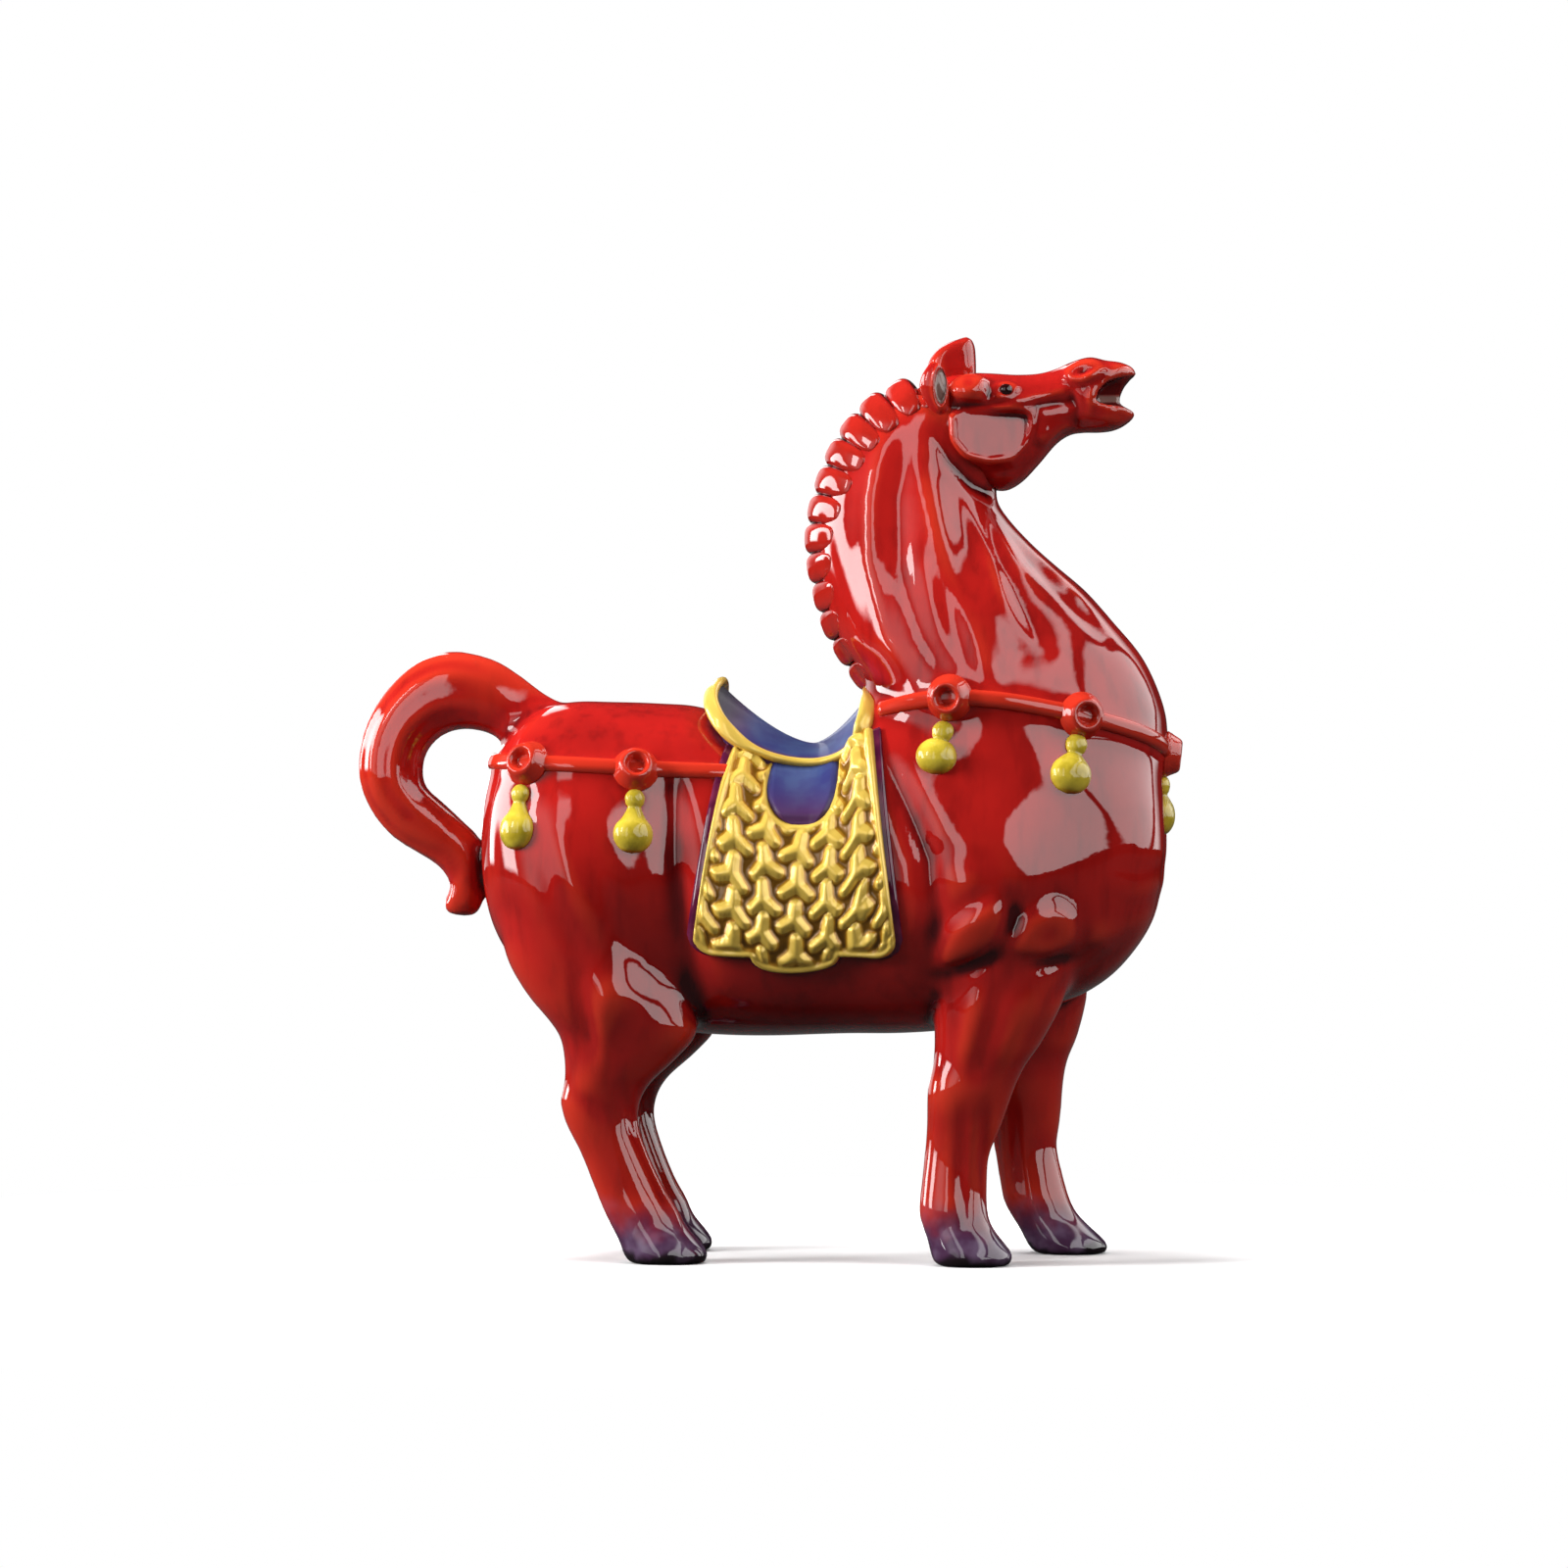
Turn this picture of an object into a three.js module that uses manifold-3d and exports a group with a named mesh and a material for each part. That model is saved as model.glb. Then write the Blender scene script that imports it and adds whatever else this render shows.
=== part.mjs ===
// A glazed stoneware horse, head thrown up and mouth open, with a knotted mane, a looped tail, a saddle
// on a relief cloth, and a harness of straps, rosettes and gourd-shaped bells.
// Millimetres, +Z up, the horse looks along +X and stands on the floor at Z = 0.
// Its near side, the right one, lies towards -Y. Nothing on it moves: the pieces are the separate castings
// and sprigs that are stuck together with slip before the glaze is fired.

import * as THREE from "three";
import { mergeVertices } from "three/addons/utils/BufferGeometryUtils.js";
import Module from "manifold-3d";

const wasm = await Module();
wasm.setup();

// Driving dimensions
const seam = 0.3;               // glaze line left between two pieces
const edgeGap = 1.5 * seam;     // the same round a form with sharp edges
const sunk = 1;                 // how deep a sprig's form reaches into the horse before it is cut to fit
const backHeight = 179.5;       // floor to the croup
const bellyHeight = 72.5;       // floor to the belly
const trunkLength = 128;        // buttock to withers
const hipWidth = 90;
const barrelWidth = 87;
const shoulderWidth = 93;
const saddleDip = 16.5;         // how far the back sinks under the saddle
const withersRise = 6;          // croup up to the withers
const chestReach = 93;          // withers to the front of the breast
const chestDrop = 25;           // withers down to the foremost point of the breast
const neckRise = 96;            // withers to poll
const neckBaseWidth = 80;
const throatWidth = 37;
const headLength = 70;          // poll to lips
const jawDepth = 38;            // forehead to the angle of the jaw
const headWidth = 33;           // over the cheeks
const muzzleWidth = 21;
const foreStance = 55;          // between the middles of the forefeet
const hindStance = 54;
const leftForeStep = 28.5;      // how far the left forefoot stands in front of the right one
const leftHindStep = -5;
const kneeHeight = 55.5;
const hockHeight = 51.5;
const fetlockHeight = 17;
const hoofWidth = 25;
const hoofLength = 25;
const cannonWidth = 17.5;
const tailWidth = 21;
const loopReach = 40;           // buttock to the back of the loop
const loopRise = 16;            // croup to the top of the loop
const earLength = 18;
const earWidth = 10.5;
const topknotRise = 16;         // poll to the top of the forelock
const topknotWidth = 14;
const maneKnots = 13;
const topKnotWidth = 13;        // across the neck, at the poll
const lowKnotWidth = 9;         // and at the withers
const knotSink = 2.2;           // middle of a knot above the crest
const strapWidth = 5.4;
const strapRise = 1.5;
const breastStrapRise = 17.5;   // from the breast up to the saddle
const rumpStrapFall = 20.5;     // croup down to the rump strap
const rosetteWidth = 13;
const rosetteRise = 4.2;
const bellLength = 21;
const bellWidth = 11.6;
const bellRise = 4.2;
const clothTopWidth = 46.8;
const clothHemWidth = 65;
const clothDrop = 83;           // croup down to the hem
const lobeDrop = 7;             // of the lobe in the middle of the hem
const cornerRise = 7.5;
const clothThickness = 3;
const liningThickness = 1.2;    // the edge of the cloth under the gold one
const liningMargin = 1.9;
const flapWidth = 24;
const flapDrop = 38.5;          // croup down to the foot of the blue flap
const flapThickness = 1.3;
const saddleLength = 52;
const saddleSpread = 38;        // degrees from the spine down to the rim, round the middle of the trunk
const cantleRise = 10.6;        // middle of the cantle rim above the back
const pommelRise = 7;           // middle of the pommel rim above the back under it
const seatThickness = 3.7;
const rimWidth = 3.4;

const withersX = 36;
const withersHeight = backHeight + withersRise;
const chestHeight = withersHeight - chestDrop;
const rumpX = withersX - trunkLength;
const poll = new THREE.Vector2(50, withersHeight + neckRise);

// Rows: a section runs from an upper or rear point (ax, az) to a lower or front point (bx, bz) of the side
// view. It has a half width, a middle y, a fullness (2 is an ellipse, more is squarer) and a weight that
// makes it wider towards its second point.
function row(ax, az, bx, bz, half, y = 0, full = 2.2, low = 0) {
  return [ax, az, bx, bz, half, y, full, low];
}

// Smooth rows between the given ones, with so many steps from each to the next
function smoothRows(rows, steps) {
  const smooth = [];
  const last = rows.length - 1;
  for (let i = 0; i < last; i++) {
    const [p, q, r, s] = [rows[Math.max(i - 1, 0)], rows[i], rows[i + 1], rows[Math.min(i + 2, last)]];
    for (let step = 0; step < steps; step++) {
      const t = step / steps;
      smooth.push(q.map((value, k) => catmull(p[k], value, r[k], s[k], t)));
    }
  }
  smooth.push(rows[last]);
  return smooth;
}

function catmull(p, q, r, s, t) {
  const a = (r - p) / 2;
  const b = (s - q) / 2;
  return (2 * t ** 3 - 3 * t ** 2 + 1) * q + (t ** 3 - 2 * t ** 2 + t) * a
    + (3 * t ** 2 - 2 * t ** 3) * r + (t ** 3 - t ** 2) * b;
}

function ringOf([ax, az, bx, bz, half, y, full, low], sides) {
  const ring = [];
  for (let i = 0; i < sides; i++) {
    const angle = (2 * Math.PI * i) / sides;
    const along = -rounded(Math.cos(angle), full);
    const side = rounded(Math.sin(angle), full) * (1 + low * along);
    ring.push(new THREE.Vector3(
      (ax + bx) / 2 + (along * (bx - ax)) / 2, y + side * half, (az + bz) / 2 + (along * (bz - az)) / 2));
  }
  return ring;
}

function rounded(value, full) {
  return Math.sign(value) * Math.abs(value) ** (2 / full);
}

// A closed body through rings of points, with a fan over each end
function bodyOf(rings) {
  const sides = rings[0].length;
  const centre = ring => ring.reduce((sum, p) => sum.add(p), new THREE.Vector3()).divideScalar(sides);
  const points = [...rings.flat(), centre(rings[0]), centre(rings[rings.length - 1])];
  const index = [];
  for (let r = 0; r + 1 < rings.length; r++) {
    for (let i = 0; i < sides; i++) {
      const [a, b] = [r * sides + i, r * sides + ((i + 1) % sides)];
      index.push(a, b, b + sides, a, b + sides, a + sides);
    }
  }
  const lastRing = (rings.length - 1) * sides;
  for (let i = 0; i < sides; i++) {
    const j = (i + 1) % sides;
    index.push(points.length - 2, j, i, points.length - 1, lastRing + i, lastRing + j);
  }
  return outward(points, index);
}

function outward(points, index) {
  let volume = 0;
  for (let i = 0; i < index.length; i += 3) {
    const [a, b, c] = [points[index[i]], points[index[i + 1]], points[index[i + 2]]];
    volume += a.dot(new THREE.Vector3().crossVectors(b, c));
  }
  if (volume < 0) index.reverse();
  const geometry = new THREE.BufferGeometry().setFromPoints(points);
  geometry.setIndex(index);
  geometry.computeVertexNormals();
  return geometry;
}

const loft = (rows, steps, sides) => bodyOf(smoothRows(rows, steps).map(r => ringOf(r, sides)));

// Muscle: lifts the surface round a place, on both flanks, with a plateau when flat is 2
function swell(geometry, swells) {
  const place = geometry.attributes.position;
  for (const { x, y, z, reach, lift, flat = 1 } of swells) {
    const normal = geometry.attributes.normal;
    for (let i = 0; i < place.count; i++) {
      const across = (Math.abs(place.getY(i)) - y) / reach[1];
      const along = (place.getX(i) - x) / reach[0];
      const up = (place.getZ(i) - z) / reach[2];
      const rise = lift * Math.exp(-((along ** 2 + across ** 2 + up ** 2) ** flat));
      place.setXYZ(i, place.getX(i) + rise * normal.getX(i), place.getY(i) + rise * normal.getY(i),
        place.getZ(i) + rise * normal.getZ(i));
    }
    geometry.computeVertexNormals();
  }
  return geometry;
}

// The space that a piece takes up with the glaze line round it
function skinOf(form, gap = seam) {
  const skin = form.clone();
  skin.computeVertexNormals();
  const [place, normal] = [skin.attributes.position, skin.attributes.normal];
  for (let i = 0; i < place.count; i++) {
    place.setXYZ(i, place.getX(i) + gap * normal.getX(i), place.getY(i) + gap * normal.getY(i),
      place.getZ(i) + gap * normal.getZ(i));
  }
  return skin;
}

function solidOf(geometry) {
  const vertProperties = new Float32Array(geometry.attributes.position.array);
  const triVerts = new Uint32Array(geometry.index.array);
  return new wasm.Manifold(new wasm.Mesh({ numProp: 3, vertProperties, triVerts }));
}

function geometryOf(solid) {
  const { vertProperties, triVerts } = solid.getMesh();
  const geometry = new THREE.BufferGeometry();
  geometry.setAttribute("position", new THREE.BufferAttribute(vertProperties, 3));
  geometry.setIndex(new THREE.BufferAttribute(triVerts, 1));
  geometry.computeVertexNormals();
  return geometry;
}

// A form that makes room for its neighbours, without the crumbs that a grazing cut leaves
function seated(form, ...neighbours) {
  const cut = neighbours.reduce((solid, other) => solid.subtract(solidOf(other)), solidOf(form));
  const bodies = cut.decompose().sort((a, b) => b.volume() - a.volume());
  return geometryOf(bodies[0]);
}

// One of three.js' own shapes as a bare closed mesh with shared corners
function bare(geometry) {
  const plain = geometry.index ? geometry.toNonIndexed() : geometry.clone();
  plain.deleteAttribute("uv");
  plain.deleteAttribute("normal");
  const merged = mergeVertices(plain, 1e-4);
  const index = [...merged.index.array];
  const kept = [];
  for (let i = 0; i < index.length; i += 3) {
    const [a, b, c] = index.slice(i, i + 3);
    if (a !== b && b !== c && a !== c) kept.push(a, b, c);
  }
  const points = [];
  const place = merged.attributes.position;
  for (let i = 0; i < place.count; i++) points.push(new THREE.Vector3().fromBufferAttribute(place, i));
  return outward(points, kept);
}

// Axes: x along the piece, y across it, z out of the surface it lies on
function axes(x, z) {
  const out = z.clone().normalize();
  const across = new THREE.Vector3().crossVectors(out, x).normalize();
  return new THREE.Matrix4().makeBasis(new THREE.Vector3().crossVectors(across, out), across, out);
}

function placed(geometry, origin, basis) {
  return geometry.applyMatrix4(basis.clone().setPosition(origin));
}

// Trunk and neck: one smooth form whose sections fan round the withers, parted under the breast strap
const breast = share => withersX + share * chestReach;

function trunkRows() {
  const barrel = [
    // share of the trunk, top against the croup, bottom against the belly, width
    [0.002, -33, 56, 0.24 * hipWidth],
    [0.022, -22, 40, 0.56 * hipWidth],
    [0.06, -11, 27.5, 0.77 * hipWidth],
    [0.13, -2.5, 17, 0.9 * hipWidth],
    [0.22, 1, 9, 0.98 * hipWidth],
    [0.33, 1, 4, hipWidth],
    [0.445, 0.5, 1, 0.95 * hipWidth],
    [0.56, -1, 0, 0.98 * barrelWidth],
    [0.65, -0.45 * saddleDip, -0.5, barrelWidth],
    [0.75, -0.92 * saddleDip, -0.5, barrelWidth],
    [0.86, -saddleDip, 0, 0.98 * barrelWidth],
    [0.94, -0.62 * saddleDip, 0.3, barrelWidth],
  ].map(([share, top, bottom, width]) => {
    const x = rumpX + share * trunkLength;
    return row(x, backHeight + top, x, bellyHeight + bottom, width / 2, 0, 2.3, 0.04);
  });
  const front = chestHeight - bellyHeight;
  const fan = [
    // top against the withers, reach of the breast, share of the way up from belly to breast, width
    [-3.6, -4.8, 0.09, 0.005, 0.96],
    [-3.4, -3.4, 0.27, 0.02, 0.99],
    [-3.3, -2.4, 0.48, 0.06, 1],
    [-3.3, -1.5, 0.66, 0.12, 1],
    [-3.3, -0.6, 0.8, 0.2, 0.985],
    [-3.4, 0.3, 0.895, 0.305, 0.965],
    [-3.6, 1.1, 0.96, 0.43, 0.94],
    [-3.8, 1.9, 0.995, 0.6, 0.915],
    [-4, 2.7, 1.004, 0.79, 0.89],
  ].map(([x, z, reach, rise, width]) => row(withersX + x, withersHeight + z, breast(reach),
    bellyHeight + rise * front, (width * shoulderWidth) / 2, 0, 2.4, 0.06));
  return [...barrel, ...fan];
}

function neckRows() {
  const widthAt = share => THREE.MathUtils.lerp(neckBaseWidth, throatWidth, share) / 2;
  return [
    // crest: forward of the withers, share of the rise; throat: forward of the withers, share; slimming
    [-4.4, 0.038, 1, -0.26, 0],
    [-7.6, 0.085, 1.013, -0.14, 0.06],
    [-11.2, 0.145, 0.988, -0.035, 0.14],
    [-14.8, 0.225, 0.924, 0.095, 0.28],
    [-17.4, 0.33, 0.822, 0.215, 0.43],
    [-19.2, 0.43, 0.731, 0.315, 0.56],
    [-19.4, 0.53, 0.635, 0.395, 0.68],
    [-17.3, 0.635, 0.55, 0.468, 0.78],
    [-13.5, 0.75, 0.468, 0.552, 0.88],
    [-8.2, 0.85, 0.42, 0.625, 0.96],
    [-1.2, 0.93, 0.425, 0.7, 1],
    [6, 0.98, 0.445, 0.79, 1],
    [12.5, 0.985, 0.465, 0.88, 0.9],
  ].map(([crest, rise, reach, throatRise, slim], i) => row(withersX + crest, withersHeight + rise * neckRise,
    breast(reach), i ? withersHeight + throatRise * neckRise : chestHeight, widthAt(slim), 0, 2.25, -0.05));
}

const trunkSides = 18;
const trunk = trunkRows();
const neckStations = neckRows();
const horseForm = swell(loft([...trunk, ...neckStations], 2, trunkSides), [
  { x: rumpX + 30, y: 40, z: bellyHeight + 36, reach: [24, 20, 30], lift: 4.5 },
  { x: rumpX + 62, y: 40, z: bellyHeight + 30, reach: [9, 20, 24], lift: -2.5 },
  { x: breast(0.42), y: 44, z: bellyHeight + 50, reach: [20, 22, 28], lift: 3.5 },
  { x: breast(0.2), y: 42, z: bellyHeight + 30, reach: [12, 18, 11], lift: 3.5 },
  { x: breast(0.56), y: 40, z: bellyHeight + 27, reach: [13, 18, 11], lift: 4 },
  { x: breast(0.97), y: 19, z: bellyHeight + 52, reach: [20, 13, 26], lift: 2 },
  { x: breast(1), y: 0, z: bellyHeight + 50, reach: [20, 6, 34], lift: -2 },
  { x: withersX + 40, y: 30, z: withersHeight + 28, reach: [9, 18, 30], lift: 2.2 },
  { x: withersX + 20, y: 26, z: withersHeight + 48, reach: [9, 16, 34], lift: 1.8 },
]);

// The two castings part at the ring under the breast strap, half a glaze line to each side of it
const seamRing = trunk.length * 2;
const seamNormal = new THREE.Vector3(neckStations[0][1] - neckStations[0][3], 0,
  neckStations[0][2] - neckStations[0][0]).normalize();
function casting(from, to) {
  const rings = [];
  const point = new THREE.Vector3();
  for (let r = from; r <= to; r++) {
    const shift = r === seamRing ? (to === seamRing ? -seam / 2 : seam / 2) : 0;
    rings.push(Array.from({ length: trunkSides }, (_, i) => {
      point.fromBufferAttribute(horseForm.attributes.position, r * trunkSides + i);
      return point.clone().addScaledVector(seamNormal, shift);
    }));
  }
  return bodyOf(rings);
}
const lastRing = (trunk.length + neckStations.length - 1) * 2;
const trunkForm = casting(0, seamRing);
const neckForm = casting(seamRing, lastRing);

// Head: sections from the poll to the lips, square to a line that rises a little forward
const headX = share => poll.x + share * headLength;
const headRows = [
  // share of the length and top against the poll; share of the length, depth against the jaw; width
  [0.02, -2, 0.14, 0.68, 0.6 * headWidth],
  [0.06, 2, 0.22, 0.86, 0.86 * headWidth],
  [0.14, 4.6, 0.3, 0.96, 0.98 * headWidth],
  [0.24, 5.2, 0.39, 1, headWidth],
  [0.34, 5, 0.47, 0.93, 0.97 * headWidth],
  [0.45, 4.5, 0.55, 0.78, 0.84 * headWidth],
  [0.55, 4.8, 0.63, 0.61, 1.06 * muzzleWidth],
  [0.63, 6.2, 0.695, 0.53, 0.98 * muzzleWidth],
  [0.71, 8.6, 0.76, 0.51, muzzleWidth],
  [0.79, 10, 0.83, 0.508, 1.04 * muzzleWidth],
  [0.865, 8.8, 0.89, 0.49, 0.99 * muzzleWidth],
  [0.93, 8, 0.945, 0.44, 0.85 * muzzleWidth],
  [0.98, 6.4, 0.985, 0.385, 0.62 * muzzleWidth],
  [0.998, 4.6, 0.998, 0.32, 0.36 * muzzleWidth],
].map(([top, rise, bottom, depth, width]) => row(headX(top), poll.y + rise, headX(bottom),
  poll.y + 5 - depth * jawDepth, width / 2, 0, 2.35, -0.04));
const eye = new THREE.Vector3(headX(0.37), headWidth * 0.46, poll.y - 0.4);
const nostril = new THREE.Vector3(headX(0.74), muzzleWidth * 0.42, poll.y + 5.6);
const headForm = swell(loft(headRows, 2, 18), [
  { x: headX(0.3), y: headWidth * 0.52, z: poll.y - 15.5, reach: [10.5, 12, 10.5], lift: 2.4, flat: 2 },
  { x: headX(0.27), y: headWidth * 0.46, z: poll.y + 1.5, reach: [9.5, 9, 4.5], lift: 3 },
  { x: headX(0.68), y: muzzleWidth * 0.5, z: poll.y + 5.5, reach: [3, 7, 5.5], lift: 1.5 },
  { x: headX(0.82), y: muzzleWidth * 0.5, z: poll.y + 2, reach: [2.6, 7, 5], lift: 1.4 },
  { x: headX(0.55), y: muzzleWidth * 0.56, z: poll.y - 7.5, reach: [2, 7, 8], lift: -1.3 },
]);

function prism(outline, yFrom, yTo) {
  const shape = new THREE.Shape(outline.map(([x, z]) => new THREE.Vector2(x, z)));
  const block = new THREE.ExtrudeGeometry(shape, { depth: yTo - yFrom, bevelEnabled: false });
  return bare(block.rotateX(Math.PI / 2).translate(0, yTo, 0));
}

// The open mouth: a notch right through between the lips, and a pocket in each cheek
const lip = headX(1);
const mouthNotch = prism([[lip + 3, poll.y + 5.6], [lip - 1.4, poll.y + 4.6], [lip - 5.2, poll.y - 1],
  [lip - 4.4, poll.y - 3.8], [lip + 3, poll.y - 6.6]], -muzzleWidth, muzzleWidth);
const cheekPocket = [[headX(0.79), poll.y - 3.6], [headX(0.83), poll.y + 0.8], [headX(0.9), poll.y + 3.8],
  [lip - 1.6, poll.y + 4.4], [lip - 5, poll.y - 0.8], [lip - 4.2, poll.y - 4]];
const teeth = 0.2 * muzzleWidth;

function ball(radii, steps = [12, 8]) {
  return bare(new THREE.SphereGeometry(1, steps[0], steps[1]).scale(...radii));
}

const turned = (geometry, x, y, z) => geometry.applyMatrix4(
  new THREE.Matrix4().makeRotationFromEuler(new THREE.Euler(x, y, z)));
const nostrilCut = side => turned(ball([3.6, 2.4, 2]), 0, -0.5, 0)
  .translate(nostril.x, side * (nostril.y + 1.6), nostril.z);
const headPiece = seated(headForm, mouthNotch, prism(cheekPocket, teeth, muzzleWidth),
  prism(cheekPocket, -muzzleWidth, -teeth), nostrilCut(1), nostrilCut(-1));

// Eyes: pellets of clay pressed into the brow
const eyePellet = side => seated(
  ball([4.6, 3.2, 3.1], [10, 6]).translate(eye.x, side * eye.y, eye.z), skinOf(headPiece));

// Ears: a leaf with a hollow that looks outwards
function ear(side) {
  const leaf = (narrow, out) => [
    [0, 0, 0.86, 3.1], [0.28, 1.4, 1, 3.6], [0.56, 2.6, 0.92, 3.1], [0.8, 3.4, 0.6, 2.1],
    [0.97, 3.9, 0.2, 0.9],
  ].map(([rise, lean, width, thick]) => {
    const half = (width * earWidth) / 2 - narrow;
    const z = poll.y - 7 + rise * earLength;
    const x = poll.x + 5.5;
    const y = side * (0.4 * headWidth + lean + out);
    return row(x - half, z + 0.5, x + half, z - 0.5, thick - narrow / 2, y, 2);
  });
  const hollow = loft(leaf(1.9, 2.6).slice(1, 4), 2, 8);
  return seated(loft(leaf(0, 0), 2, 10), hollow, skinOf(headForm), skinOf(horseForm));
}

// Forelock: one blunt lock that stands between the ears
const topknotForm = loft([
  [0, 3.5, 17, 0.8], [0.3, 2.2, 17, 1], [0.68, 3.5, 16.8, 1], [0.9, 6.8, 16.2, 0.76], [1, 9.5, 14.8, 0.42],
].map(([rise, back, front, width]) => {
  const z = poll.y + 1 + rise * topknotRise;
  return row(poll.x + back, z - 0.5, poll.x + front, z + 0.5, (width * topknotWidth) / 2, 0, 2.8);
}), 2, 12);

// Mane: rolled knots along the crest, each as long as its share of the way allows
const crestCurve = new THREE.CatmullRomCurve3([
  ...neckStations.slice(0, -2).map(([x, z]) => new THREE.Vector3(x, 0, z)),
  new THREE.Vector3(poll.x - 5, 0, poll.y + 1.5),
  new THREE.Vector3(poll.x + 1.5, 0, poll.y + 4),
]);
function maneKnot(i) {
  const share = 1 - i / (maneKnots - 1);
  const width = THREE.MathUtils.lerp(lowKnotWidth, topKnotWidth, share);
  const along = crestCurve.getTangentAt(share);
  const basis = axes(along, new THREE.Vector3(-along.z, 0, along.x));
  const length = crestCurve.getLength() / (maneKnots - 1) * (1 + knotSink / 30);
  const knot = ball([(length - seam) / 2, width / 2, 0.48 * length], [7, 5]);
  const out = new THREE.Vector3().setFromMatrixColumn(basis, 2);
  return placed(knot, crestCurve.getPointAt(share).addScaledVector(out, knotSink), basis);
}

// Legs: from the hoof up into the trunk. A step moves the foot forward and fades out higher up.
function leg(rows, side, step, fadeHeight) {
  const forward = z => step * Math.max(0, 1 - z / fadeHeight);
  return loft(rows.map(([ax, az, bx, bz, width, y]) => row(ax + forward(az), az, bx + forward(bz), bz,
    width / 2, side * y, 2.15)), 2, 10);
}

const toeAhead = hoofLength - 25;
const foreX = breast(0.347);
const foreRows = y => [
  [foreX - 6, bellyHeight + 31, foreX + 28, bellyHeight + 35, 1.2 * cannonWidth, y - 4],
  [foreX - 11, bellyHeight + 20, foreX + 33, bellyHeight + 25, 1.75 * cannonWidth, y - 1],
  [foreX - 11.5, bellyHeight + 9, foreX + 30, bellyHeight + 13, 1.8 * cannonWidth, y],
  [foreX - 11.5, bellyHeight - 2, foreX + 23, bellyHeight - 1, 1.58 * cannonWidth, y],
  [foreX - 12, kneeHeight + 8, foreX + 17.5, kneeHeight + 8, 1.4 * cannonWidth, y],
  [foreX - 13.5, kneeHeight, foreX + 13.5, kneeHeight, 1.3 * cannonWidth, y],
  [foreX - 14, kneeHeight - 11, foreX + 9.5, kneeHeight - 12, 1.1 * cannonWidth, y],
  [foreX - 14.7, fetlockHeight + 18, foreX + 6, fetlockHeight + 18, cannonWidth, y],
  [foreX - 15.8, fetlockHeight + 8, foreX + 5.3, fetlockHeight + 8, 1.03 * cannonWidth, y],
  [foreX - 16.5, fetlockHeight, foreX + 5.5, fetlockHeight, 1.12 * cannonWidth, y],
  [foreX - 15.2, 0.7 * fetlockHeight, foreX + 7, 0.72 * fetlockHeight, 1.1 * cannonWidth, y],
  [foreX - 13.6, 0.44 * fetlockHeight, foreX + 10.5 + toeAhead, 0.44 * fetlockHeight, 0.9 * hoofWidth, y],
  [foreX - 12.6, 3, foreX + 13.6 + toeAhead, 3.4, hoofWidth, y],
  [foreX - 10.6, 0, foreX + 12.4 + toeAhead, 0, 0.98 * hoofWidth, y],
];
const hindX = rumpX + 42.5;
const hindRows = y => [
  [hindX - 20, bellyHeight + 42, hindX + 20, bellyHeight + 46, 1.3 * cannonWidth, y - 4],
  [hindX - 31, bellyHeight + 27, hindX + 25, bellyHeight + 29, 1.85 * cannonWidth, y - 1],
  [hindX - 24.5, bellyHeight + 15, hindX + 28, bellyHeight + 17, 2 * cannonWidth, y + 0.5],
  [hindX - 18, bellyHeight + 7, hindX + 29.5, bellyHeight + 7, 1.85 * cannonWidth, y + 0.5],
  [hindX - 13.6, bellyHeight, hindX + 29.6, bellyHeight, 1.65 * cannonWidth, y],
  [hindX - 12.4, hockHeight + 13, hindX + 22.6, hockHeight + 13, 1.42 * cannonWidth, y],
  [hindX - 12.6, hockHeight + 6, hindX + 15, hockHeight + 6, 1.26 * cannonWidth, y],
  [hindX - 14, hockHeight, hindX + 11.6, hockHeight, 1.15 * cannonWidth, y],
  [hindX - 12.3, hockHeight - 7, hindX + 11, hockHeight - 7, 1.06 * cannonWidth, y],
  [hindX - 7.5, fetlockHeight + 18, hindX + 14, fetlockHeight + 18.5, cannonWidth, y],
  [hindX - 3.3, fetlockHeight + 7.5, hindX + 19.2, fetlockHeight + 7.5, cannonWidth, y],
  [hindX - 0.3, fetlockHeight, hindX + 24, fetlockHeight, 1.08 * cannonWidth, y],
  [hindX + 2.4, 0.68 * fetlockHeight, hindX + 26.5, 0.7 * fetlockHeight, 1.1 * cannonWidth, y],
  [hindX + 5, 0.4 * fetlockHeight, hindX + 30.5 + toeAhead, 0.44 * fetlockHeight, 0.9 * hoofWidth, y],
  [hindX + 6.3, 3, hindX + 33.6 + toeAhead, 3.4, hoofWidth, y],
  [hindX + 8.5, 0, hindX + 32.6 + toeAhead, 0, 0.98 * hoofWidth, y],
];

// Tail: rises from the croup, loops back and down and lies against the buttock with a flicked tip.
// Each row has the outer and the inner edge, as reach behind the buttock and height against the croup.
const tailForm = loft([
  [-26, 2, -14, -11, 0.8], [-18.5, 5.2, -8.5, -12, 0.86], [-11, 10, -5, -11, 0.92],
  [-2, 15.2, 0.7, -9, 0.98], [10.5, loopRise + 2, 7, -8, 1], [21.4, 15.6, 12.3, -9, 1],
  [31, 8.2, 17, -12, 1],
  [38.4, -2.2, 20, -16.6, 1], [loopReach + 2.2, -13.7, 20.8, -21.6, 1], [loopReach + 2.3, -25, 20, -26, 1],
  [38.4, -34.8, 16.4, -29.6, 0.96], [32, -42.8, 11.8, -33.6, 0.9], [24, -48.6, 6.6, -37.8, 0.82],
  [17.2, -52.8, 2.2, -42.2, 0.74], [12.8, -57.4, -0.2, -48.6, 0.68], [12.4, -62.5, 0.2, -57, 0.62],
  [13.6, -67, 1.6, -64.6, 0.54], [12.2, -69.6, 4.4, -69.2, 0.36],
].map(([outX, outZ, inX, inZ, width]) => row(rumpX - outX, backHeight + outZ, rumpX - inX, backHeight + inZ,
  (width * tailWidth) / 2, 0, 2.1)), 2, 10);

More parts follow.
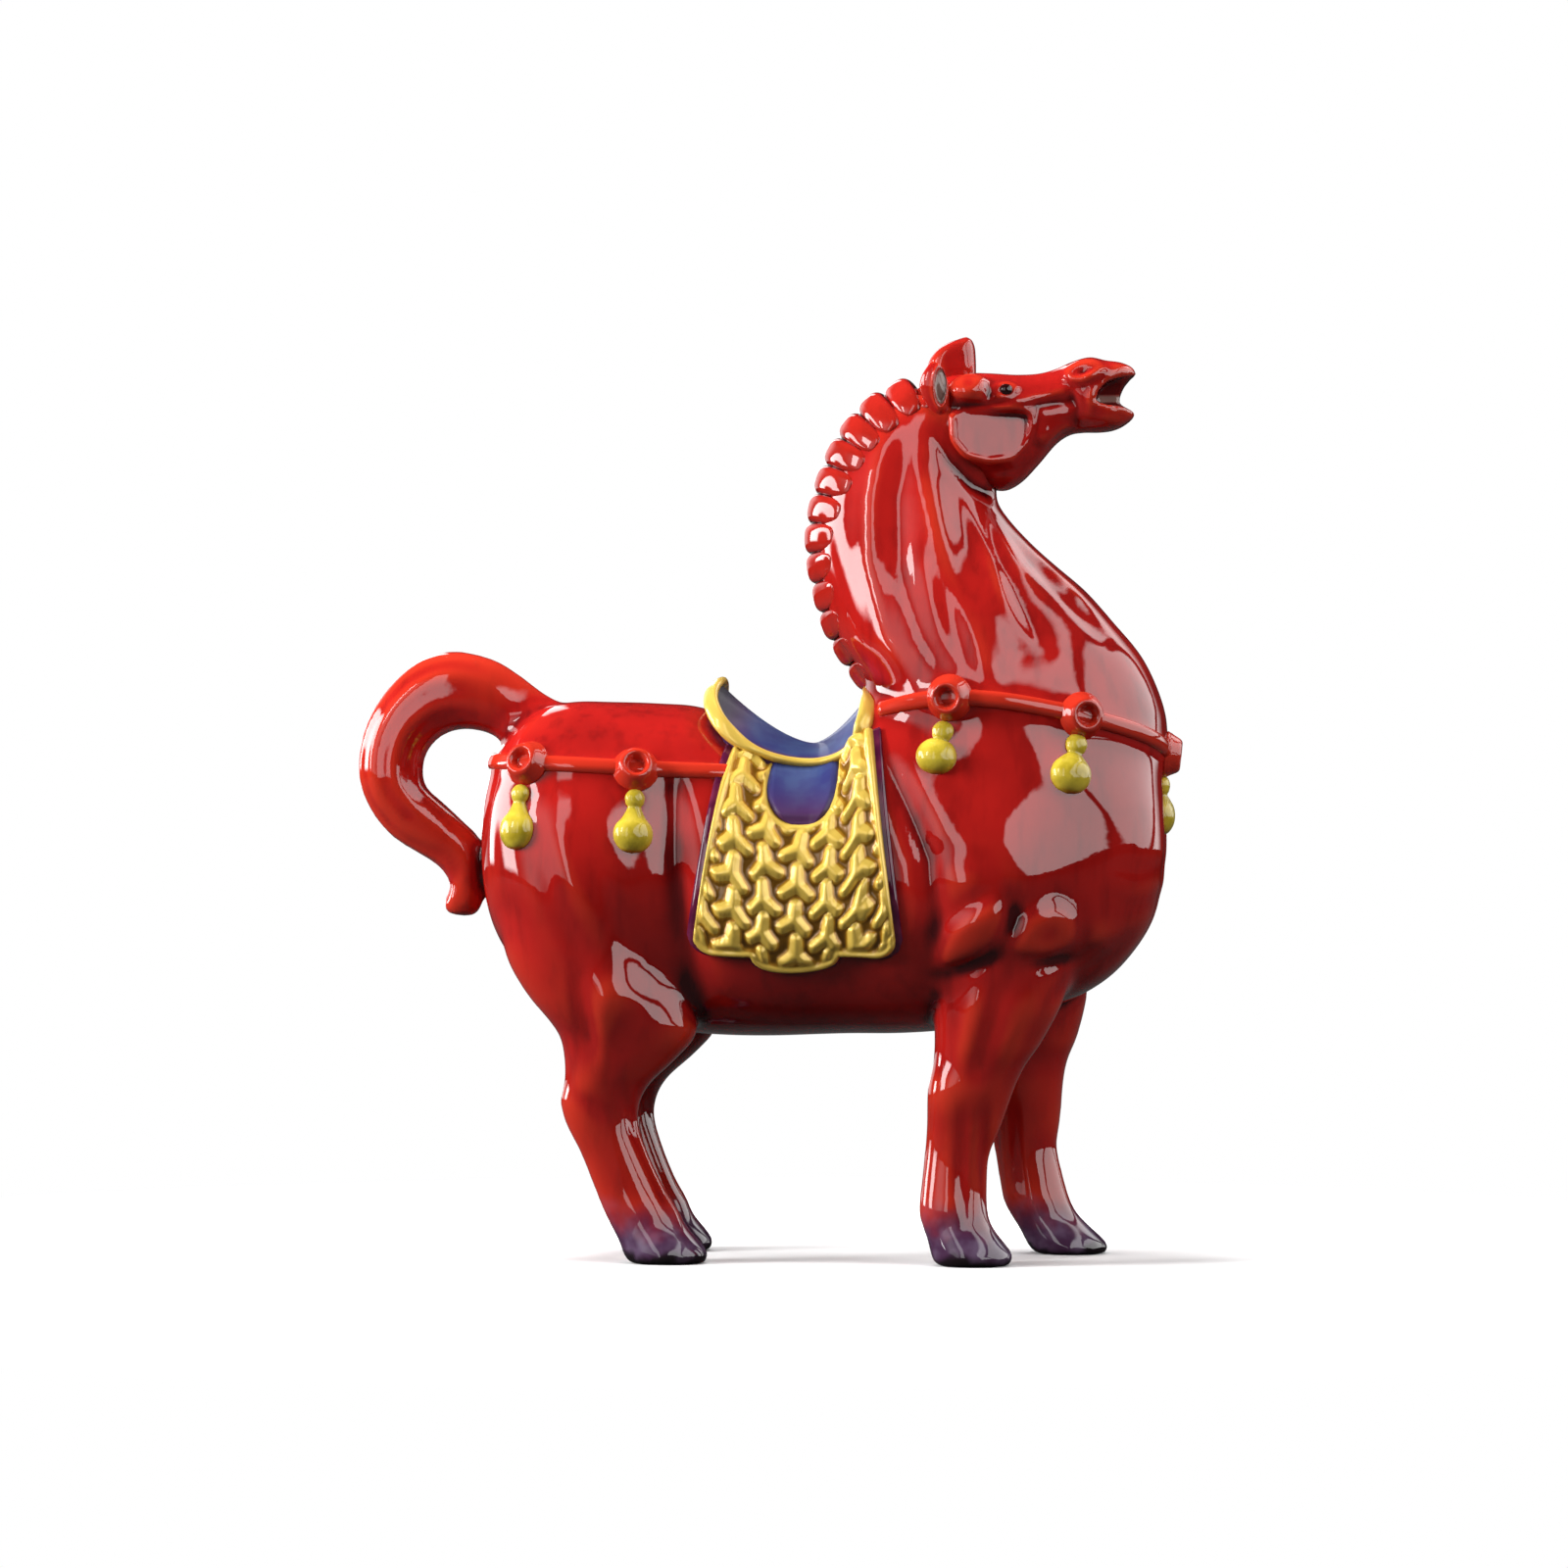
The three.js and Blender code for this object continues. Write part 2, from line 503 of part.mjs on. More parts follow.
// Seating on the horse
const castOn = form => new THREE.Mesh(form, new THREE.MeshBasicMaterial({ side: THREE.DoubleSide }));
const trunkBase = [castOn(trunkForm)];
const wholeBase = [castOn(horseForm)];
const ray = new THREE.Raycaster();
const far = 400;

// Where a line from outside towards the target meets the horse, with the surface's direction there
function touch(target, direction, base = wholeBase) {
  ray.set(target.clone().addScaledVector(direction, far), direction.clone().negate());
  const hit = ray.intersectObjects(base)[0];
  return { at: hit.point, out: hit.normal.clone().normalize() };
}

// Round a post that stands inside the horse: angle 0 looks forward, 90 degrees to the left side
function aroundPost(postX, degrees, z) {
  const angle = THREE.MathUtils.degToRad(degrees);
  return touch(new THREE.Vector3(postX, 0, z), new THREE.Vector3(Math.cos(angle), Math.sin(angle), 0));
}

// On a flank: out from the middle of the trunk at x, at an angle from the vertical
const trunkMiddle = (backHeight + bellyHeight) / 2;
function flank(x, degrees, side) {
  const angle = THREE.MathUtils.degToRad(degrees);
  const { at, out } = touch(new THREE.Vector3(x, 0, trunkMiddle),
    new THREE.Vector3(0, Math.sin(angle), Math.cos(angle)), trunkBase);
  const mirror = new THREE.Vector3(1, side, 1);
  return { at: at.multiply(mirror), out: out.multiply(mirror) };
}

// The angle that reaches down to a height on the widest part of the flank
const flankAngle = z => THREE.MathUtils.radToDeg(Math.atan2(barrelWidth / 2, z - trunkMiddle));

// Straps: half-round strips of clay
function strapOf(spots) {
  const middle = spots.map(({ at, out }) => at.clone().addScaledVector(out, seam));
  const rings = spots.map(({ out }, i) => {
    const along = middle[Math.min(i + 1, middle.length - 1)].clone().sub(middle[Math.max(i - 1, 0)]);
    const across = new THREE.Vector3().crossVectors(out, along).normalize();
    return [[1, -sunk], [0.6, strapRise], [-0.6, strapRise], [-1, -sunk]].map(
      ([w, h]) => middle[i].clone().addScaledVector(across, (w * strapWidth) / 2).addScaledVector(out, h));
  });
  return bodyOf(rings);
}

// Rosettes: a raised ring round a hollow with a bead in it
function rosette({ at, out }) {
  const r = rosetteWidth / 2;
  const profile = [[0, -sunk], [r, -sunk], [0.94 * r, 0.8 * rosetteRise], [0.7 * r, rosetteRise],
    [0.42 * r, 0.74 * rosetteRise], [0.2 * r, 0.86 * rosetteRise], [0, 0.9 * rosetteRise],
  ].map(([x, y]) => new THREE.Vector2(x, y));
  const disc = bare(new THREE.LatheGeometry(profile, 9)).rotateX(Math.PI / 2);
  return placed(disc, at, axes(new THREE.Vector3(0, 0, -1), out));
}

// Bells: a small gourd ball above a larger one, half sunk in the horse
function bell({ at, out }, down) {
  const profile = [[0, 0], [0.2, 0.03], [0.29, 0.16], [0.21, 0.31], [0.37, 0.44], [0.5, 0.66], [0.42, 0.87],
    [0.2, 0.98], [0, 1]].map(([w, l]) => new THREE.Vector2(w * bellWidth, (0.5 - l) * bellLength));
  const gourd = bare(new THREE.LatheGeometry(profile, 8)).rotateZ(Math.PI / 2);
  gourd.scale(1, 1, (2 * bellRise) / bellWidth);
  return placed(gourd, at, axes(down, out));
}

const breastPost = breast(0.36);
const breastSpot = (degrees, below = 0) => aroundPost(breastPost, degrees, chestHeight + 2.4 - below
  + breastStrapRise * Math.sin(THREE.MathUtils.degToRad(0.93 * Math.abs(degrees))));
const rumpPost = rumpX + 44;
const rumpSpot = (degrees, below = 0) => aroundPost(rumpPost, 180 + degrees,
  backHeight - rumpStrapFall + 2.2 * Math.cos(THREE.MathUtils.degToRad(degrees)) - below);

// Where a strap that runs round a post gets to x, which is on the far side of that post
function endAngle(spot, x, ahead) {
  let degrees = 92;
  while (degrees < 160 && (spot(degrees).at.x - x) * ahead > 0) degrees += 1;
  return degrees;
}

function strapRound(spot, end, steps) {
  return strapOf(Array.from({ length: steps + 1 }, (_, i) => spot(-end + (2 * end * i) / steps)));
}

// Saddle: the rim is a loop over the back, given for the left side from the cantle to the pommel, as a share
// of half the saddle, a share of the way down to its lowest angle and a height off the back
const saddleX = withersX - 22;
const clothX = saddleX + 0.9;
const rimOutline = [
  [-1.12, 0, cantleRise], [-1.15, 0.33, 0.93 * cantleRise], [-1.15, 0.54, 0.72 * cantleRise],
  [-1.02, 0.76, 0.6 * cantleRise], [-0.75, 0.91, 5.3], [-0.42, 0.98, 5.4], [-0.1, 0.98, 5],
  [0.22, 1, 4.5], [0.49, 1.01, 4.1], [0.69, 1, 3.2], [0.79, 0.86, 2.8], [0.8, 0.62, 3],
  [0.72, 0.3, 0.85 * pommelRise], [0.66, 0, pommelRise],
].map(([x, spread, rise]) => {
  const { at } = flank(saddleX + (x * saddleLength) / 2, spread * saddleSpread, 1);
  const up = new THREE.Vector3(0, at.y, at.z - trunkMiddle).normalize();
  return at.addScaledVector(up, rise);
});
const mirrored = rimOutline.slice(1, -1).reverse().map(p => new THREE.Vector3(p.x, -p.y, p.z));
const rimCurve = new THREE.CatmullRomCurve3([...rimOutline, ...mirrored], true, "centripetal");
const rimSteps = 26;
const rimForm = bare(new THREE.ExtrudeGeometry(circleShape(rimWidth / 2, 6), { steps: rimSteps,
  extrudePath: rimCurve, bevelEnabled: false }));

function circleShape(radius, sides) {
  return new THREE.Shape(Array.from({ length: sides }, (_, i) => new THREE.Vector2(
    radius * Math.cos((2 * Math.PI * i) / sides), radius * Math.sin((2 * Math.PI * i) / sides))));
}

// Seat: a hollow between cantle and pommel, laid from the rim to its lowest place
const seatLow = flank(saddleX + 1.5, 0, 1).at.add(new THREE.Vector3(0, 0, seatThickness));
function seatRing(share, sink) {
  return rimCurve.getSpacedPoints(rimSteps).slice(0, rimSteps).map(p => new THREE.Vector3(
    THREE.MathUtils.lerp(seatLow.x, p.x, share), p.y * share,
    THREE.MathUtils.lerp(seatLow.z, p.z, share ** 1.55) - sink));
}
const seatDepth = seatThickness + 7;
const seatForm = bodyOf([seatRing(0.3, 0), seatRing(0.55, 0), seatRing(0.8, 0), seatRing(1, 0),
  seatRing(1, seatDepth)]);

// A sheet that hangs over one flank between two heights above the skin
function sheet(side, outline, low, high, columns, rows) {
  const spot = (i, j, height) => {
    const [x, degrees] = outline((2 * i) / columns - 1, j / rows);
    const { at, out } = flank(x, degrees, side);
    return at.addScaledVector(out, height);
  };
  const points = [];
  for (const height of [low, high]) {
    for (let j = 0; j <= rows; j++) {
      for (let i = 0; i <= columns; i++) points.push(spot(i, j, height));
    }
  }
  const layer = (columns + 1) * (rows + 1);
  const at = (i, j, k) => k * layer + j * (columns + 1) + i;
  const index = [];
  const quad = (a, b, c, d) => index.push(a, b, c, a, c, d);
  for (let j = 0; j < rows; j++) {
    for (let i = 0; i < columns; i++) {
      quad(at(i, j, 0), at(i + 1, j, 0), at(i + 1, j + 1, 0), at(i, j + 1, 0));
      quad(at(i, j, 1), at(i, j + 1, 1), at(i + 1, j + 1, 1), at(i + 1, j, 1));
    }
  }
  for (let i = 0; i < columns; i++) {
    quad(at(i, 0, 0), at(i, 0, 1), at(i + 1, 0, 1), at(i + 1, 0, 0));
    quad(at(i, rows, 0), at(i + 1, rows, 0), at(i + 1, rows, 1), at(i, rows, 1));
  }
  for (let j = 0; j < rows; j++) {
    quad(at(0, j, 0), at(0, j + 1, 0), at(0, j + 1, 1), at(0, j, 1));
    quad(at(columns, j, 0), at(columns, j, 1), at(columns, j + 1, 1), at(columns, j + 1, 0));
  }
  return outward(points, index);
}

// Gold cloth: wider at the hem, with a lobe between two notches and round corners. Its top is under the rim.
const rimSpots = rimCurve.getSpacedPoints(160).filter(p => p.y > 12);
function underRim(x) {
  const near = THREE.MathUtils.clamp(x, saddleX - 0.45 * saddleLength, saddleX + 0.365 * saddleLength);
  const gap = p => Math.abs(p.x - near) + 0.02 * p.z;
  const spot = rimSpots.reduce((best, p) => (gap(p) < gap(best) ? p : best));
  return THREE.MathUtils.radToDeg(Math.atan2(spot.y, spot.z - trunkMiddle));
}
const lobeShare = 0.43;
function clothOutline(margin) {
  return (u, v) => {
    const width = THREE.MathUtils.lerp(clothTopWidth, clothHemWidth, v) / 2 + margin;
    const x = clothX - 1.3 * v + u * width;
    const out = Math.abs(u);
    const lobe = out < lobeShare ? lobeDrop * Math.sqrt(1 - (out / lobeShare) ** 2) : 0;
    const bend = Math.max(0, out - 0.78) / 0.22;
    const corner = cornerRise * (1 - Math.sqrt(Math.max(0, 1 - bend ** 2)));
    const hem = flankAngle(backHeight - clothDrop - lobe + corner - 0.6 * margin);
    return [x, THREE.MathUtils.lerp(underRim(x), hem, v)];
  };
}
const flapOutline = (u, v) => {
  const round = v < 0.45 ? 1 : Math.sqrt(1 - 0.94 * ((v - 0.45) / 0.55) ** 2);
  const x = clothX + u * round * (flapWidth / 2);
  return [x, THREE.MathUtils.lerp(underRim(x), flankAngle(backHeight - flapDrop), v)];
};

// The pieces, each with its own glaze
const glazes = {
  red: { color: 0xb01a1c, roughness: 0.15, metalness: 0 },
  gold: { color: 0xc99d28, roughness: 0.25, metalness: 0 },
  lemon: { color: 0xc9b52f, roughness: 0.22, metalness: 0 },
  blue: { color: 0x34346f, roughness: 0.18, metalness: 0 },
  plum: { color: 0x4d1630, roughness: 0.2, metalness: 0 },
};
const model = new THREE.Group();
function add(name, geometry, glaze) {
  const piece = new THREE.Mesh(geometry, new THREE.MeshStandardMaterial(glazes[glaze]));
  piece.name = name;
  model.add(piece);
}

const trunkSkin = skinOf(trunkForm);
const horseSkin = skinOf(horseForm);
const headSkin = skinOf(headPiece);
add("body", trunkForm, "red");
add("neck", seated(neckForm, skinOf(headForm)), "red");
add("head", headPiece, "red");
const topknot = seated(topknotForm, headSkin, horseSkin);
add("forelock", topknot, "red");
const topknotSkin = skinOf(topknot);
for (const [name, side] of [["right", -1], ["left", 1]]) {
  add(`${name}_ear`, seated(ear(side), topknotSkin), "red");
  add(`${name}_eye`, eyePellet(side), "red");
  const [foreStep, hindStep] = side > 0 ? [leftForeStep, leftHindStep] : [0, 0];
  const foreleg = leg(foreRows(foreStance / 2), side, foreStep, bellyHeight + 30);
  const hindLeg = leg(hindRows(hindStance / 2), side, hindStep, bellyHeight - 5);
  add(`${name}_foreleg`, seated(foreleg, trunkSkin), "red");
  add(`${name}_hind_leg`, seated(hindLeg, trunkSkin), "red");
}
add("tail", seated(tailForm, trunkSkin), "red");
const rim = seated(rimForm, horseSkin);
const rimSkin = skinOf(rimForm);
const seat = seated(seatForm, horseSkin, rimSkin);
const saddleSkin = skinOf(seatForm, edgeGap);
add("saddle_rim", rim, "gold");
add("saddle_seat", seat, "blue");

for (let i = 0; i < maneKnots; i++) {
  const name = `mane_knot_${String(i + 1).padStart(2, "0")}`;
  add(name, seated(maneKnot(i), horseSkin, headSkin, topknotSkin, rimSkin, saddleSkin), "red");
}

const clothSkins = [];
for (const [name, side] of [["right", -1], ["left", 1]]) {
  const clothForm = sheet(side, clothOutline(0), -sunk, seam + clothThickness, 12, 8);
  const clothSkin = skinOf(clothForm);
  const cloth = seated(clothForm, horseSkin, rimSkin, saddleSkin);
  const lining = seated(sheet(side, clothOutline(liningMargin), -sunk, seam + liningThickness, 12, 8),
    horseSkin, rimSkin, saddleSkin, clothSkin);
  const flapTop = 2 * seam + clothThickness + flapThickness;
  const flap = seated(sheet(side, flapOutline, clothThickness, flapTop, 6, 6),
    clothSkin, rimSkin, saddleSkin);
  add(`${name}_cloth`, cloth, "gold");
  add(`${name}_lining`, lining, "plum");
  add(`${name}_flap`, flap, "blue");
  clothSkins.push(skinOf(lining), clothSkin);
}

const breastEnd = endAngle(breastSpot, withersX + 5, 1);
const rumpEnd = endAngle(rumpSpot, clothX - clothTopWidth / 2 - liningMargin - 2.5, -1);
const breastStrapForm = strapRound(breastSpot, breastEnd, 28);
const rumpStrapForm = strapRound(rumpSpot, rumpEnd, 24);
add("breast_strap", seated(breastStrapForm, horseSkin, rimSkin, saddleSkin), "red");
add("rump_strap", seated(rumpStrapForm, horseSkin, ...clothSkins), "red");
const strapSkins = [skinOf(breastStrapForm, edgeGap), skinOf(rumpStrapForm, edgeGap)];

const harness = [
  // place round its strap in degrees, and how far the bell leans back or forward
  ["breast", breastSpot, 0, 0],
  ["right_shoulder", breastSpot, -46, -5],
  ["left_shoulder", breastSpot, 46, 5],
  ["right_neck", breastSpot, -100, -4],
  ["left_neck", breastSpot, 100, 4],
  ["right_hip", rumpSpot, 105, 1],
  ["left_hip", rumpSpot, -105, -1],
  ["right_rump", rumpSpot, 55, 4],
  ["left_rump", rumpSpot, -55, -4],
];
for (const [name, spot, degrees, lean] of harness) {
  const button = rosette(spot(degrees));
  add(`${name}_rosette`, seated(button, horseSkin, ...strapSkins), "red");
  const top = spot(degrees).at;
  const middle = spot(degrees + lean, rosetteWidth / 2 + 0.5 * bellLength);
  add(`${name}_bell`, seated(bell(middle, middle.at.clone().sub(top)), horseSkin, skinOf(button)),
    "lemon");
}

// The origin is under the middle of the whole horse
const box = new THREE.Box3().setFromObject(model);
const middle = box.getCenter(new THREE.Vector3());
model.position.set(-middle.x, -middle.y, -box.min.z);

export default model;
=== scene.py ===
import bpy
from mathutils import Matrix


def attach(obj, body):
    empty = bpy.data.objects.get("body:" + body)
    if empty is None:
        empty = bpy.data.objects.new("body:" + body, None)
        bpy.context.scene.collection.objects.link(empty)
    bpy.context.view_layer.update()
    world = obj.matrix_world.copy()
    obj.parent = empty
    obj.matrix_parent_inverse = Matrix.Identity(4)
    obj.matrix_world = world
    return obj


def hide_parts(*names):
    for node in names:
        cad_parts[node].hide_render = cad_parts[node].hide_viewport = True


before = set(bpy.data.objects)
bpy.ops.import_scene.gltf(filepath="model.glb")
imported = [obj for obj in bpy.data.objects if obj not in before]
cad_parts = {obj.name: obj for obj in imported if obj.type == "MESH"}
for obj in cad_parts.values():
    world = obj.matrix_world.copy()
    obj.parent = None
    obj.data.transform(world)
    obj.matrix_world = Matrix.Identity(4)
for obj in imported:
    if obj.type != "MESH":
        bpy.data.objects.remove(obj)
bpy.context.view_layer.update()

import math

import bmesh
import bpy
import numpy as np
from mathutils import Vector
from mathutils.bvhtree import BVHTree

# A glazed stoneware horse. Lengths are in millimetres with +X towards the head, -Y the near flank and +Z up;
# metres() turns them into the frame's metres.
MM = 0.001
CENTRING = np.array([0.718, 0.0, 0.0])

BACK = 179.5
BELLY = 72.5
WITHERS_X = 36.0
WITHERS = 185.5
TRUNK_LENGTH = 128.0
RUMP_X = WITHERS_X - TRUNK_LENGTH
CHEST_REACH = 93.0
CHEST = 160.5
NECK_RISE = 96.0
POLL_X = 50.0
POLL = WITHERS + NECK_RISE
HEAD_LENGTH = 70.0
HEAD_WIDTH = 33.0
MUZZLE_WIDTH = 21.0
JAW_DEPTH = 38.0
SADDLE_DIP = 16.5
TRUNK_MIDDLE = (BACK + BELLY) / 2
BARREL = 87.0
SKIN_GRAIN, HEAD_GRAIN = 1.36, 0.5
FAR = 400.0         # further than any two points of the horse

# camera first: the photograph's angle, a long lens from 1.7 m
VIEW_DISTANCE = 1.7
VIEW_AZIMUTH = math.radians(6.0)
VIEW_RISE = math.radians(-0.6)
LOOKS_AT = Vector((CENTRING[0] * MM, 0.0, 0.15))
camera_data = bpy.data.cameras.new("camera")
camera_data.sensor_width = 36.0
camera_data.lens = 120.0
camera_data.shift_x = 0.01125
camera_data.shift_y = 0.0072
camera_data.clip_end = 20.0
camera = bpy.data.objects.new("camera", camera_data)
bpy.context.scene.collection.objects.link(camera)
back = Vector((math.cos(VIEW_RISE) * math.sin(VIEW_AZIMUTH), -math.cos(VIEW_RISE) * math.cos(VIEW_AZIMUTH),
               math.sin(VIEW_RISE)))
camera.location = LOOKS_AT + VIEW_DISTANCE * back
camera.rotation_euler = (-back).to_track_quat("-Z", "Y").to_euler()
bpy.context.scene.camera = camera


def metres(points):
    return (np.asarray(points, float) + CENTRING) * MM


def millimetres(points):
    return np.array(points) / MM - CENTRING


def breast(share):
    return WITHERS_X + share * CHEST_REACH


def head_x(share):
    return POLL_X + share * HEAD_LENGTH


def smoothstep(low, high, value):
    t = np.clip((value - low) / (high - low), 0, 1)
    return t * t * (3 - 2 * t)


def unit(vectors):
    return vectors / np.linalg.norm(vectors, axis=-1, keepdims=True)


def cos_sin(degrees):
    return math.cos(math.radians(degrees)), math.sin(math.radians(degrees))


def angles(count):
    return np.linspace(0, 2 * math.pi, count, endpoint=False)


# Sections run from (ax, az) to (bx, bz) in the side view: half width, middle y, fullness, weight towards b
def row(ax, az, bx, bz, half, y=0.0, full=2.2, low=0.0):
    return [ax, az, bx, bz, half, y, full, low]


def through(corners, steps, closed=False):
    """Points on a smooth curve through the corners, with that many steps from each corner to the next."""
    corners = np.array(corners, float)
    total = len(corners)
    t = (np.arange(steps) / steps)[:, None]
    line = []
    for i in range(total if closed else total - 1):
        around = np.arange(i - 1, i + 3)
        p, q, r, s = corners[around % total if closed else np.clip(around, 0, total - 1)]
        line.append((2 * t**3 - 3 * t**2 + 1) * q + (t**3 - 2 * t**2 + t) * (r - p) / 2
                    + (3 * t**2 - 2 * t**3) * r + (t**3 - t**2) * (s - q) / 2)
    line.append(corners[:1] if closed else corners[-1:])
    return np.concatenate(line)


def smooth_path(corners, count, closed=False):
    """Evenly spaced points on such a curve, and its length."""
    fine = through(corners, 20, closed)
    run = np.concatenate([[0], np.cumsum(np.linalg.norm(np.diff(fine, axis=0), axis=1))])
    spots = np.linspace(0, run[-1], count, endpoint=not closed)
    return np.stack([np.interp(spots, run, column) for column in fine.T], axis=1), run[-1]


def rounded(value, full):
    return np.sign(value) * np.abs(value) ** (2 / full)


def rings_of(rows, steps, sides):
    """Rings of points round the smoothed sections."""
    ax, az, bx, bz, half, y, full, low = [column[:, None] for column in through(rows, steps).T]
    angle = angles(sides)
    along = -rounded(np.cos(angle), full)
    side = rounded(np.sin(angle), full) * (1 + low * along)
    x = (ax + bx) / 2 + along * (bx - ax) / 2
    z = (az + bz) / 2 + along * (bz - az) / 2
    return np.stack([x, y + side * half, z], axis=2)


def link(name, points, faces):
    mesh = bpy.data.meshes.new(f"glazed_{name}")
    mesh.from_pydata([tuple(p) for p in metres(points)], [], faces)
    mesh.update()
    piece = bpy.data.objects.new(f"glazed_{name}", mesh)
    bpy.context.scene.collection.objects.link(piece)
    face_outwards(piece)
    return piece


def face_outwards(piece):
    work = bmesh.new()
    work.from_mesh(piece.data)
    bmesh.ops.remove_doubles(work, verts=work.verts, dist=1e-6)
    bmesh.ops.recalc_face_normals(work, faces=work.faces)
    work.to_mesh(piece.data)
    work.free()
    piece.data.shade_smooth()
    piece.data.update()


def tube_faces(count, sides, ring_closed=False):
    faces = []
    for r in range(count if ring_closed else count - 1):
        for i in range(sides):
            j = (i + 1) % sides
            s = (r + 1) % count
            faces.append((r * sides + i, r * sides + j, s * sides + j, s * sides + i))
    return faces


def loft(name, rings):
    count, sides = rings.shape[:2]
    points = np.concatenate([rings.reshape(-1, 3), [rings[0].mean(0)], [rings[-1].mean(0)]])
    faces = tube_faces(count, sides)
    top = count * sides
    for i in range(sides):
        j = (i + 1) % sides
        faces += [(top, j, i), (top + 1, top - sides + i, top - sides + j)]
    return link(name, points, faces)


def read(piece, what):
    flat = np.empty(len(piece.data.vertices) * 3)
    piece.data.vertices.foreach_get(what, flat)
    return flat.reshape(-1, 3)


def points_of(piece):
    return millimetres(read(piece, "co"))


def set_points(piece, points):
    piece.data.vertices.foreach_set("co", metres(points).ravel())
    piece.data.update()


def swell(piece, rise):
    """Moves each point out of the skin by its own rise."""
    set_points(piece, points_of(piece) + read(piece, "normal") * rise[:, None])


def select(pieces):
    bpy.ops.object.select_all(action="DESELECT")
    for piece in pieces:
        piece.select_set(True)
    bpy.context.view_layer.objects.active = pieces[0]


def apply_modifier(piece, kind, **settings):
    select([piece])
    modifier = piece.modifiers.new(kind.lower(), kind)
    for key, value in settings.items():
        setattr(modifier, key, value)
    bpy.ops.object.modifier_apply(modifier=modifier.name)
    piece.data.shade_smooth()


def joined(name, pieces):
    select(pieces)
    bpy.ops.object.join()
    pieces[0].name = f"glazed_{name}"
    return pieces[0]


# clay modelling on a dense skin
def on_one_flank(points):
    return points * (1, 0, 1) + np.abs(points) * (0, 1, 0)


def raise_clay(piece, lumps):
    """Lumps on both flanks: place, reach, rise, and some with 2 for a plateau and degrees of tilt."""
    for place, reach, rise, *more in lumps:
        flat, tilt = more or (1, 0)
        x, y, z = (on_one_flank(points_of(piece)) - place).T
        c, s = cos_sin(tilt)
        square = ((np.stack([c * x + s * z, y, c * z - s * x], axis=1) / reach) ** 2).sum(1)
        swell(piece, rise * np.exp(-(square**flat)))


def soften(piece, place, reach, rounds):
    """Smooths the skin round a place, on both flanks, so that forms run into one another."""
    points = points_of(piece)
    away = on_one_flank(points) - place
    share = np.exp(-(((away / reach) ** 2).sum(1) ** 2))[:, None]
    for _ in range(rounds):
        points = points + 0.8 * share * (neighbours_mean(piece, points) - points)
    set_points(piece, points)


def along_step(flat, a, b):
    """How far along the step from a to b each point is, from 0 to 1, and how far from it."""
    share = np.clip(((flat - a) @ (b - a)) / ((b - a) ** 2).sum(), 0, 1)
    return share, np.hypot(*(flat - a - share[:, None] * (b - a)).T)


def cut_line(piece, path, width, depth, facing=(0.15, 0.55), ends=0.5):
    """A soft furrow, or a ridge if depth is negative, along a line in the side view, on both flanks."""
    flat = points_of(piece)[:, [0, 2]]
    path = np.array(path, float)
    steps = np.hypot(*np.diff(path, axis=0).T)
    run = np.concatenate([[0], np.cumsum(steps)])
    near = np.full(len(flat), FAR)
    share = np.zeros(len(flat))
    for i, (a, b) in enumerate(zip(path[:-1], path[1:])):
        t, distance = along_step(flat, a, b)
        closer = distance < near
        near[closer] = distance[closer]
        share[closer] = ((run[i] + t * steps[i]) / run[-1])[closer]
    fade = np.sin(math.pi * np.clip(share, 0.02, 0.98)) ** ends
    fade *= smoothstep(*facing, np.abs(read(piece, "normal")[:, 1]))
    swell(piece, -depth * np.exp(-((near / width) ** 2)) * fade)


def raise_along(piece, line, width, rise):
    """Lifts the skin along a line that lies on it, so that what is laid there grows out of it."""
    points = points_of(piece)
    near = np.full(len(points), FAR**2)
    for place in line:
        near = np.minimum(near, ((points - place) ** 2).sum(1))
    swell(piece, rise * np.exp(-near / width**2))


def neighbours_mean(piece, value):
    edges = np.empty(len(piece.data.edges) * 2, np.int64)
    piece.data.edges.foreach_get("vertices", edges)
    a, b = edges.reshape(-1, 2).T
    size = len(piece.data.vertices)
    count = np.maximum(np.bincount(a, minlength=size) + np.bincount(b, minlength=size), 1)
    if value.ndim == 1:
        return (np.bincount(a, value[b], size) + np.bincount(b, value[a], size)) / count
    return np.stack([neighbours_mean(piece, value[:, k]) for k in range(value.shape[1])], axis=1)


def set_attribute(piece, name, value):
    attribute = piece.data.attributes.get(name) or piece.data.attributes.new(name, "FLOAT", "POINT")
    attribute.data.foreach_set("value", np.asarray(value, np.float32))


def mark_pools_shade_and_highlights(piece, gain, rounds=10):
    """Where glaze pools and where shade and highlight are painted: 1 in hollows, painted darker as shade, 0
    on ridges, painted lighter as highlight, 0.5 on flat skin.
    """
    wide = points = points_of(piece)
    for _ in range(rounds):
        wide = neighbours_mean(piece, wide)
    hollow = ((wide - points) * read(piece, "normal")).sum(1)
    for _ in range(3):
        hollow = neighbours_mean(piece, hollow)
    set_attribute(piece, "pool_shade_and_highlight", np.clip(0.5 + gain * hollow, 0, 1))


